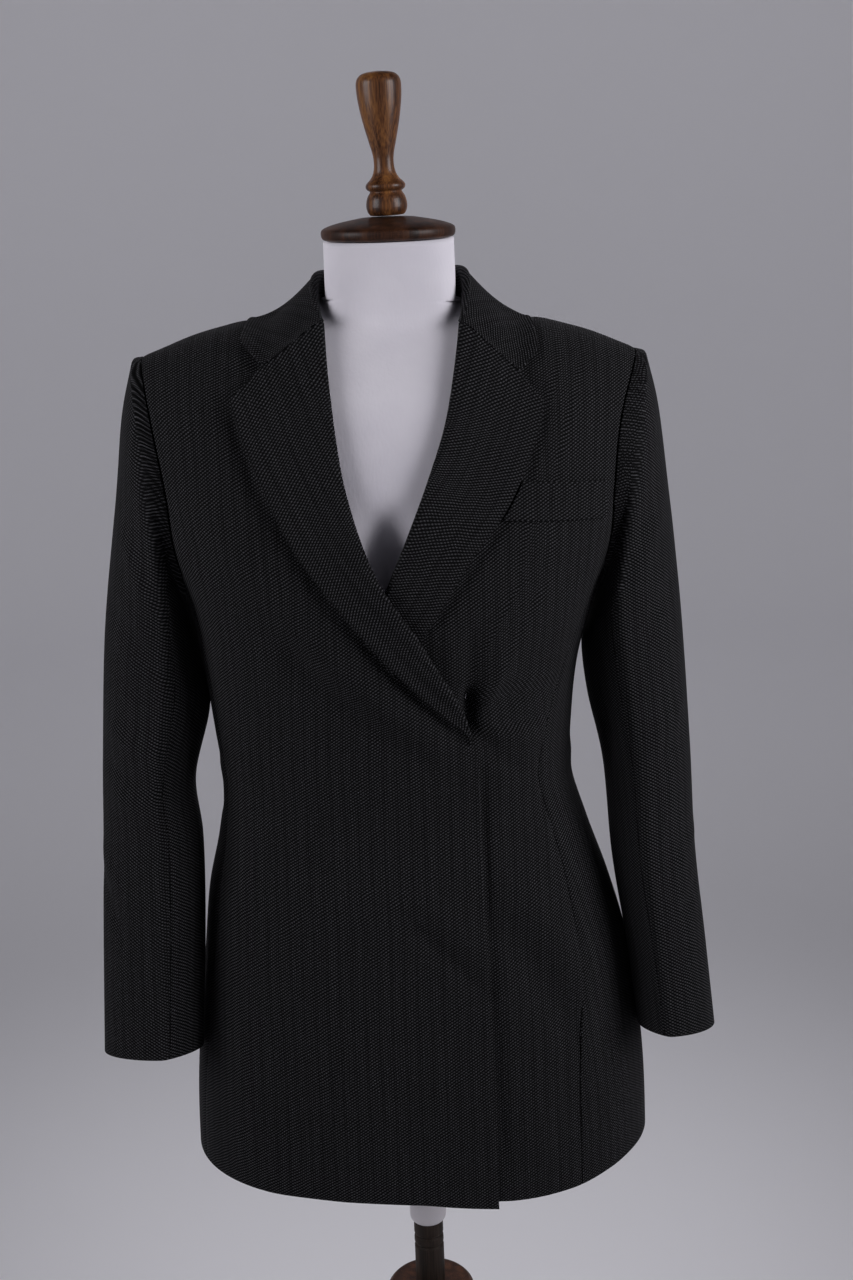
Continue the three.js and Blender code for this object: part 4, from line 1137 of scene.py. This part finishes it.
def collar_middle(rounds, stand, roll, leaf):
    """Middle surface of the collar: rounds runs round the neck, the rest across its width.

    Across, it is a straight stand, a half circle of fold, and a leaf that runs straight to its
    edge but never sinks below its lift over the shoulders. At the two front ends it turns into
    the line of the gorge.
    """
    halves = []
    for side in ("right", "left"):
        sign = SIGN[side]
        share = rounds[::-1] if side == "right" else rounds[1:]
        s = share[:, None]
        column = {name: curve(STATIONS, name, s, "at") for name in STATIONS if name != "at"}
        x_roll, z_roll = ROLL_LINES[side]["x"][-1], ROLL_LINES[side]["z"][-1]

        fold = np.stack([sign * column["fold_x"], column["fold_y"], column["fold_z"]], axis=-1)
        here = np.full_like(s, 1.0)
        front_end = on_body("front", x_roll * here, z_roll * here, (2 * ROLL + CROWN) * here)
        front_end = front_end - [sign * END_INWARDS, 0, 0]
        to_end = (s**9)[..., None]
        fold = lerp(fold, front_end, to_end)
        flat = unit(fold * [1, 1, 0])
        radius = (FOLD_RADIUS * (1 - s**4) + FOLD_TIGHTEST)[..., None]

        seam_x = sign * column["seam_x"]
        back_z = shoulder_height(seam_x) - back_neck_dip(seam_x)
        edge = np.stack([seam_x, surface_y("back", seam_x, back_z), back_z + 1], axis=-1)
        at_back = edge - unit(edge * [1, 1, 0]) * SEAM_INWARDS
        forwards = np.clip((s - SHOULDER_AT) / (1 - SHOULDER_AT), 0, 1)
        at_front = on_shoulder(seam_x, FRONT_FOOT * forwards, 0 * s)
        at_front = at_front + [-sign * SEAM_INWARDS, 0, 1]
        foot = np.where((s <= SHOULDER_AT)[..., None], at_back, at_front)

        top_inner = fold - flat * radius - [0, 0, 1] * radius
        w = stand[None, :, None]
        stand_part = lerp(foot, top_inner, w)
        angle = (roll * np.pi)[None, :, None]
        centre = fold - [0, 0, 1] * radius
        roll_part = centre - flat * radius * np.cos(angle) + [0, 0, 1] * radius * np.sin(angle)

        w = leaf[None, :]
        chain_share = np.broadcast_to(w, (len(share), len(leaf)))
        corner_x, corner_z = LAPELS[side]["collar"]
        notch = (NOTCH_SHARE, *LAPELS[side]["notch"])
        end_x, end_z = along([(0, x_roll, z_roll), notch, (1, corner_x, corner_z)], chain_share)
        lower = s**3
        corner_y = surface_y("front", np.float64(corner_x), np.float64(corner_z))
        edge_x = sign * lerp(column["leaf_x"], abs(corner_x), lower)
        edge_y = column["leaf_y"] + lower * (corner_y - STATIONS["leaf_y"][-1])
        outer = on_shoulder(edge_x, edge_y, LEAF_LIFT - CLOTH / 2 + 0 * s)
        from_fold = centre + flat * radius
        leaf_part = lerp(from_fold, outer, w[..., None])
        leaf_part[..., 2] -= LEAF_SAG * np.sin(np.pi * w) * smooth(0.2, 0.6, s)
        end_lift = folds(FRONT_FOLDS, end_x, end_z) + lapel_lift(side, chain_share, end_z)
        at_end = on_body("front", end_x, end_z, end_lift - CLOTH / 2)
        leaf_part = lerp(leaf_part, at_end, to_end)
        lift = LEAF_LIFT - CLOTH / 2 + 0 * chain_share
        resting = on_shoulder(leaf_part[..., 0], leaf_part[..., 1], lift)
        leaf_part[..., 2] = np.maximum(leaf_part[..., 2], resting[..., 2])
        halves.append(np.concatenate([stand_part, roll_part, leaf_part], axis=1))
    return np.concatenate(halves, axis=0)


near_end = 1 - np.array([2.2, 1.3, 0.8, 0.4, 0.12, 0]) / 230
half_rounds = np.concatenate([np.linspace(0, 0.97, 76), near_end])
up_stand = np.array([0, 0.01, 0.03, 0.06, 0.12, 0.22, 0.34, 0.46, 0.58, 0.7, 0.82, 0.92])
over_fold = np.linspace(0, 1, 11)
collar_grid = collar_middle(half_rounds, up_stand, over_fold, steps(66.0, 2.8)[1:])
collar_grid = np.swapaxes(collar_grid, 0, 1)


def fan_cut(grid, fold_row):
    """A first guess of the collar's flat cut, a fan.

    Its fold line bends in the plane as much as the leaf's edge is longer than the fold, and
    every other point lies straight across from the fold, as far as it is on the collar.
    """
    fold_steps = np.linalg.norm(np.diff(grid[fold_row], axis=0), axis=-1)
    edge_steps = np.linalg.norm(np.diff(grid[-1], axis=0), axis=-1)
    from_fold = lengths(grid, 0)
    from_fold -= from_fold[fold_row]
    middle = grid.shape[1] // 2
    bend = np.concatenate([[0], np.cumsum((edge_steps - fold_steps) / from_fold[-1, 1:])])
    bend -= bend[middle]
    moves = np.stack([np.cos(bend[1:]), np.sin(bend[1:])], -1) * fold_steps[:, None]
    line = np.vstack([[[0, 0]], np.cumsum(moves, axis=0)])
    away = np.stack([np.sin(bend), -np.cos(bend)], axis=-1)
    return line - line[middle] + from_fold[..., None] * away


PULL = 1.6  # each round's moves are this many times the mean, to settle sooner


def flattened(flat, points, rounds):
    """The cut of a grid of points: flat, eased until its neighbours are as far apart as there.

    Each round moves both ends of every step, along the grid and across its cells both ways,
    half of the difference in length towards each other, and takes the mean of all the moves.
    """
    every = slice(None)
    first, later = slice(None, -1), slice(1, None)
    pairs = [
        ((first, every), (later, every)), ((every, first), (every, later)),
        ((first, first), (later, later)), ((first, later), (later, first)),
    ]
    spans = [np.linalg.norm(points[there] - points[here], axis=-1) for here, there in pairs]
    shares = np.zeros(flat.shape[:2])
    for here, there in pairs:
        shares[here] += 1
        shares[there] += 1
    for _ in range(rounds):
        moves = np.zeros_like(flat)
        for (here, there), span in zip(pairs, spans):
            step = flat[there] - flat[here]
            now = np.maximum(np.linalg.norm(step, axis=-1), 1e-6)
            pull = step * ((now - span) / now / 2)[..., None]
            moves[here] += pull
            moves[there] -= pull
        flat = flat + PULL * moves / shares[..., None]
    return flat


fold_row = len(up_stand) + len(over_fold) // 2
collar_grain = flattened(fan_cut(collar_grid, fold_row), collar_grid, rounds=2500)
collar = cloth_shell("collar_cloth", collar_grid, 1, collar_grain)
standing_for(collar, "collar")

# ---- Breast welt --------------------------------------------------------------------------
# A folded strip of the same cloth, sewn flat on the left chest over the mouth of a pocket. Its
# lower edge is seamed, its upper one is a fold, and its outer end is stitched down.

WELT_X = 129.0
WELT_Z = 1176.0
WELT_WIDE = 80.0
WELT_HIGH = 31.0
WELT_SLOPE = -0.1
WELT_LIFT = 2.9  # from the front's face to the welt's
MOUTH = 1.6  # how far the pocket's mouth stands open
BESIDE_LAPEL = 1.5
STITCHES = {"inset": 3.2, "half": 0.7, "depth": 0.5}

u, v = np.meshgrid(steps(WELT_WIDE, 2.2), steps(WELT_HIGH, 2.2))
rise = (v - 0.5) * WELT_HIGH
start_x = WELT_X - WELT_WIDE / 2 + 0 * v
for _ in range(5):
    start_z = WELT_Z + rise + (start_x - WELT_X) * WELT_SLOPE
    start_x = curve(LAPELS["left"]["edge"], "x", start_z) + BESIDE_LAPEL
x = lerp(start_x, WELT_X + WELT_WIDE / 2, u)
z = WELT_Z + rise + (x - WELT_X) * WELT_SLOPE
from_end = x - WELT_X - WELT_WIDE / 2
stitched = STITCHES["depth"] * bell(from_end + STITCHES["inset"], STITCHES["half"])
mouth = MOUTH * smooth(0.3, 1, v) * smooth(0, 0.25, u) * (1 - smooth(0.8, 1, u))
lift = front_drape("left", x, z) + WELT_LIFT + mouth - stitched
welt_grid = on_body("front", x, z, lift - CLOTH / 2)
welt_grain = np.stack([x, rise], axis=-1)
welt = cloth_shell("breast_pocket_welt", welt_grid, 1, welt_grain)
standing_for(welt, "breast_welt")

# ---- Sleeves ------------------------------------------------------------------------------
# Two-piece sleeves: a wide top sleeve and a narrower under one, seamed in front and behind and
# eased into the armhole, so that the head stands a little proud of its seam. They hang with a
# slight bend at the elbow and end in a plain turned-up cuff.

SLEEVES = {
    "right": {
        "down": np.arange(8) / 7,
        "out_x": [218.5, 230, 240, 259, 269, 273, 278, 283],
        "out_z": [1288, 1245, 1180, 1064, 950, 880, 790, 682],
        "in_x": [185.5, 182, 178.5, 174, 190, 186, 188, 195],
        "in_z": [1078, 1058, 1030, 985, 922, 868, 788, 682],
        "mid_y": [1, 1, 0, -3, -12, -21, -36, -55],
        "depth": [66, 67, 66, 62, 58, 55, 52, 48],
        "rise": [0, 0, 0, 0, 4, 8, 11, 12],
    },
    "left": {
        "down": np.arange(8) / 7,
        "out_x": [212, 221.5, 229, 240, 247, 250, 257, 264],
        "out_z": [1279, 1238, 1176, 1070, 945, 850, 770, 688],
        "in_x": [168.5, 162, 155, 159, 171, 177, 187, 196],
        "in_z": [1078, 1056, 1030, 985, 925, 840, 768, 688],
        "mid_y": [1, 1, 0, -3, -14, -27, -41, -55],
        "depth": [66, 67, 66, 62, 58, 54, 51, 47],
        "rise": [0, 0, 0, 0, 4, 7, 9, 10],
    },
}
FRONT_SEAM = 118.0  # degrees round the sleeve from its outer edge, forwards
BACK_SEAM = -122.0
SEAM_TURN = 0.12  # degrees by which a sleeve piece keeps back from each long seam
RIDGE = FRONT_SEAM - 8  # where the front of the sleeve is fullest
HEAD = 0.045  # length of the head before the first section, as a share of the sleeve's
ARMHOLE_GAP = 0.15
SLEEVE_LONG = 610.0
ARC = 1.02  # millimetres round the sleeve to a degree, at the scale of the folds
EASING_ROUNDS = {"right": 0, "left": 1200}  # the left sleeve's grain is eased flat at its head

# Folds of the sleeves, as millimetres round from the outer edge (forwards) and height.
SLEEVE_FOLDS = {
    "right": [
        (40, 1150, 92, 1085, 10, 2.0, 4), (22, 1090, 98, 1040, 9, -1.8, 5),
        (30, 985, 104, 952, 9, 2.2, 5),
        (24, 955, 104, 925, 8, -2.0, 4), (46, 925, 108, 902, 8, 1.8, 3),
        (8, 850, 70, 792, 8, -2.6, 4), (16, 872, 80, 824, 9, 1.8, 4),
        (-10, 1240, -14, 1120, 13, 1.2, 0), (-64, 1180, -104, 1060, 14, 2.0, -4),
        (-40, 1000, -110, 960, 11, -1.8, -4), (-36, 940, -112, 925, 11, 2.2, -4),
        (-44, 760, -60, 700, 11, -1.4, 0),
        (134, 1010, 160, 930, 9, -2.0, 2), (-140, 990, -110, 905, 10, 1.6, 0),
    ],
    "left": [
        (38, 1160, 90, 1092, 10, 2.0, 4), (20, 1100, 92, 1046, 9, -1.6, 5),
        (26, 990, 100, 955, 10, 2.0, 4), (28, 958, 104, 930, 8, -2.0, 4),
        (12, 870, 76, 838, 9, 1.6, 4), (20, 830, 84, 790, 8, -1.5, 3),
        (-12, 1230, -10, 1110, 13, 1.2, 0), (-60, 1175, -100, 1050, 14, 2.0, -4),
        (-38, 990, -108, 950, 11, -1.9, -4), (-40, 925, -114, 905, 11, 2.1, -4),
        (-30, 780, -46, 710, 11, -1.4, 0), (132, 1000, 158, 920, 9, -2.0, 2),
    ],
}


def armhole_place(side, angle):
    """Armhole edge at an angle from the shoulder tip: forwards, down to the armpit, and back."""
    tip = ARMHOLES[side]["z"][-1] - 2
    centre = (tip + ARMPIT) / 2
    z = centre + (tip - centre) * np.cos(angle)
    in_front = np.sin(angle) > 0
    high = np.maximum(z, ARMHOLE_FOOT)
    x = SIGN[side] * curve(ARMHOLES[side], "x", high)
    y = np.where(in_front, surface_y("front", x, high), surface_y("back", x, high))
    low = np.clip((ARMHOLE_FOOT - z) / (ARMHOLE_FOOT - ARMPIT), 0, 1)
    seam = np.where(
        in_front,
        -curve(SIDE_SEAMS[side], "front", ARMHOLE_FOOT),
        curve(SIDE_SEAMS[side], "back", ARMHOLE_FOOT),
    )
    low_y = seam * np.sqrt(1 - low**2)
    upper = z > ARMHOLE_FOOT
    edge_x = np.where(upper, x, surface_x(side, low_y, z))
    return np.stack([edge_x, np.where(upper, y, low_y), z], axis=-1)


def sleeve_fullness(angle):
    """How far forward a sleeve's section reaches at an angle, from -1 behind to 1 in front.

    In front it is no ellipse: it leans to a soft ridge along the front seam, and falls away
    quickly from there to the inner edge, as (1 - t^p)^q on either side of the ridge.
    """
    ridge = math.cos(math.radians(RIDGE))
    across = np.cos(angle)
    outer = np.clip((across - ridge) / (1 - ridge), 0, 1)
    inner = np.clip((ridge - across) / (1 + ridge), 0, 1)
    front = np.where(across > ridge, (1 - outer**1.75) ** 0.5, (1 - inner**1.25) ** 0.6)
    return np.where(np.sin(angle) > 0, front, np.sin(angle))


def sleeve_section(side, angle, down):
    """Point of a sleeve at an angle from its outer edge, down of the way along its sections.

    Seen from the front the section runs from the outer to the inner edge, as (1 + cos a) / 2;
    its depth goes as sin a.
    """
    table = SLEEVES[side]
    out_x, out_z, in_x, in_z, mid_y, depth, rise = (
        curve(table, name, down, "down") for name in table if name != "down"
    )
    to_out = (1 + np.cos(angle)) / 2
    to_front = lerp(np.sin(angle), sleeve_fullness(angle), smooth(0.04, 0.3, down))
    return np.stack(
        [
            SIGN[side] * lerp(in_x, out_x, to_out),
            mid_y - depth * to_front,
            lerp(in_z, out_z, to_out) + rise * to_front,
        ],
        axis=-1,
    )


def sleeve_middle(side, first, last, columns, rows):
    """Middle surface of one sleeve piece between two angles in degrees, from armhole to cuff.

    Between the armhole and the first section it follows a cubic that leaves the armhole
    outwards and arrives in the sleeve's own direction.
    """
    u, v = np.meshgrid(columns, rows)
    angle = np.radians(lerp(first + SEAM_TURN, last - SEAM_TURN, u))
    down = (v - HEAD) / (1 - HEAD)
    body = sleeve_section(side, angle, np.maximum(down, 0))
    start = armhole_place(side, angle) + [SIGN[side] * ARMHOLE_GAP, 0, 0]
    end = sleeve_section(side, angle, np.zeros_like(angle))
    a_little = 0.004
    ahead = sleeve_section(side, angle, np.full_like(angle, a_little)) - end
    t = np.clip(v / HEAD, 0, 1)[..., None]
    leave = (end - start) * 0.9 + [SIGN[side] * 2, 0, 0]
    arrive = ahead / a_little * HEAD / (1 - HEAD)
    head = (
        start * (1 + 2 * t) * (1 - t) ** 2
        + leave * t * (1 - t) ** 2
        + end * t**2 * (3 - 2 * t)
        - arrive * t**2 * (1 - t)
    )
    surface = np.where((v < HEAD)[..., None], head, body)
    across = np.gradient(surface, axis=1)
    normal = unit(np.cross(across, np.gradient(surface, axis=0))) * SIGN[side]
    round_arc = np.degrees(angle) * ARC
    round_arc = np.where(round_arc > 180 * ARC, round_arc - 360 * ARC, round_arc)
    inside = np.minimum(1, 6 * np.minimum(u, 1 - u)) * smooth(0, 0.12, v)
    inside = inside * (1 - smooth(0.93, 1, v))
    out = folds(SLEEVE_FOLDS[side], round_arc, surface[..., 2]) * inside
    return surface + normal * (out - CLOTH / 2)[..., None]


head_rows = np.array([0, 0.15, 0.45, 0.9, 1.5, 2.6, 4.2, 6.2, 8.6, 11.5, 14.5, 18, 21.5, 25])
cuff_rows = SLEEVE_LONG - np.array([3.2, 2.0, 1.2, 0.6, 0.25, 0])
even_rows = np.linspace(29, SLEEVE_LONG - 6, 140)
rows = np.concatenate([head_rows, even_rows, cuff_rows]) / SLEEVE_LONG
for side in ("right", "left"):
    sign = SIGN[side]
    for name, first, last, flat, area in (
        ("top", BACK_SEAM, FRONT_SEAM, (0.205, 0.63), 0.113),
        ("under", FRONT_SEAM, 360 + BACK_SEAM, (0.125, 0.47), 0.0475),
    ):
        panel = sleeve_middle(side, first, last, steps(flat[0] / MILLIMETRE, 4.0), rows)
        upright = upright_grain(panel[::-1], sign, 0.0, anchor=panel.shape[1] // 2)[::-1]
        grain = flattened(upright, panel, EASING_ROUNDS[side])
        piece = cloth_shell(f"{name}_sleeve_cloth_{side}", panel, sign, grain)
        standing_for(piece, f"{name}_sleeve_{side}")

# ---- Studio -------------------------------------------------------------------------------
# A pale floor that turns up into a round wall, two large soft lights at the sides, and a
# camera a little above the chest, looking slightly down.

# Matt paper: no gloss at all, so that the wall behind shades evenly from the floor up.
grey_paint, tree, shader = new_material("pale matt backdrop paper")
shader.inputs["Base Color"].default_value = srgb("ececf0")
shader.inputs["Roughness"].default_value = 0.95

cove_profile = [
    (0, -1), (3600, -1), (4200, 80), (4600, 500), (4700, 1200), (4700, 2600), (4700, 6500),
]
line = softened(cove_profile)
angle = -np.linspace(0, 2 * np.pi, 96, endpoint=False)  # backwards, so that the faces turn in
radius, height = line[1:, :1], line[1:, 1:]
rings = np.stack([radius * np.cos(angle), radius * np.sin(angle), height + 0 * angle], axis=-1)
ringed("cove", rings, [0, 0, line[0, 1]], None, grey_paint)


def soft_light(name, place, target, wide, high, watts, spread, glossy=True):
    """A large rectangular lamp at a place, turned to a target, both in metres.

    Its light keeps within a cone, spread degrees wide. One that isn't glossy lights a surface
    without being mirrored in it.
    """
    lamp = bpy.data.lights.new(name, "AREA")
    lamp.shape = "RECTANGLE"
    lamp.size = wide
    lamp.size_y = high
    lamp.energy = watts
    lamp.spread = math.radians(spread)
    lamp.color = srgb("fdfbff")[:3]
    made = bpy.data.objects.new(name, lamp)
    made.location = place
    made.rotation_euler = (Vector(target) - Vector(place)).to_track_quat("-Z", "Y").to_euler()
    made.visible_camera = False
    made.visible_glossy = glossy
    bpy.context.scene.collection.objects.link(made)


CHEST = (0, 0, 1.25)
WAIST = (0, 0, 1.0)
soft_light("softbox_right", (-1.72, -0.84, 1.68), CHEST, 1.2, 1.4, 5.6, 90)
soft_light("softbox_left", (1.72, -0.84, 1.68), CHEST, 1.2, 1.4, 7.6, 90)
soft_light("softbox_back_right", (-0.8, 1.9, 2.35), WAIST, 1.0, 1.2, 4.6, 80, glossy=False)
soft_light("softbox_back_left", (0.8, 1.9, 2.35), WAIST, 1.0, 1.2, 5.4, 80, glossy=False)
soft_light("backdrop_light", (0, 1.4, 3.2), (0, 4.7, 0.9), 3.0, 0.6, 26, 150)

world = bpy.data.worlds.new("studio air")
world.use_nodes = True
air = world.node_tree.nodes["Background"]
air.inputs["Color"].default_value = srgb("c9c9d2")
air.inputs["Strength"].default_value = 0.012
bpy.context.scene.world = world

PITCH = math.radians(15.4)  # how far the camera looks down
TILT = math.radians(-2.14)
lens = bpy.data.cameras.new("camera")
lens.lens = 50
lens.sensor_width = 36
camera = bpy.data.objects.new("camera", lens)
forwards = Vector((0, math.cos(PITCH), -math.sin(PITCH)))
rightwards = Vector((1, 0, 0))
upwards = rightwards.cross(forwards)
tilted_right = rightwards * math.cos(TILT) + upwards * math.sin(TILT)
tilted_up = upwards * math.cos(TILT) - rightwards * math.sin(TILT)
camera.matrix_world = Matrix((tilted_right, tilted_up, -forwards)).transposed().to_4x4()
camera.location = (0.019, -1.5, 1.45)
bpy.context.scene.collection.objects.link(camera)
bpy.context.scene.camera = camera

bpy.context.scene.view_settings.view_transform = "Standard"
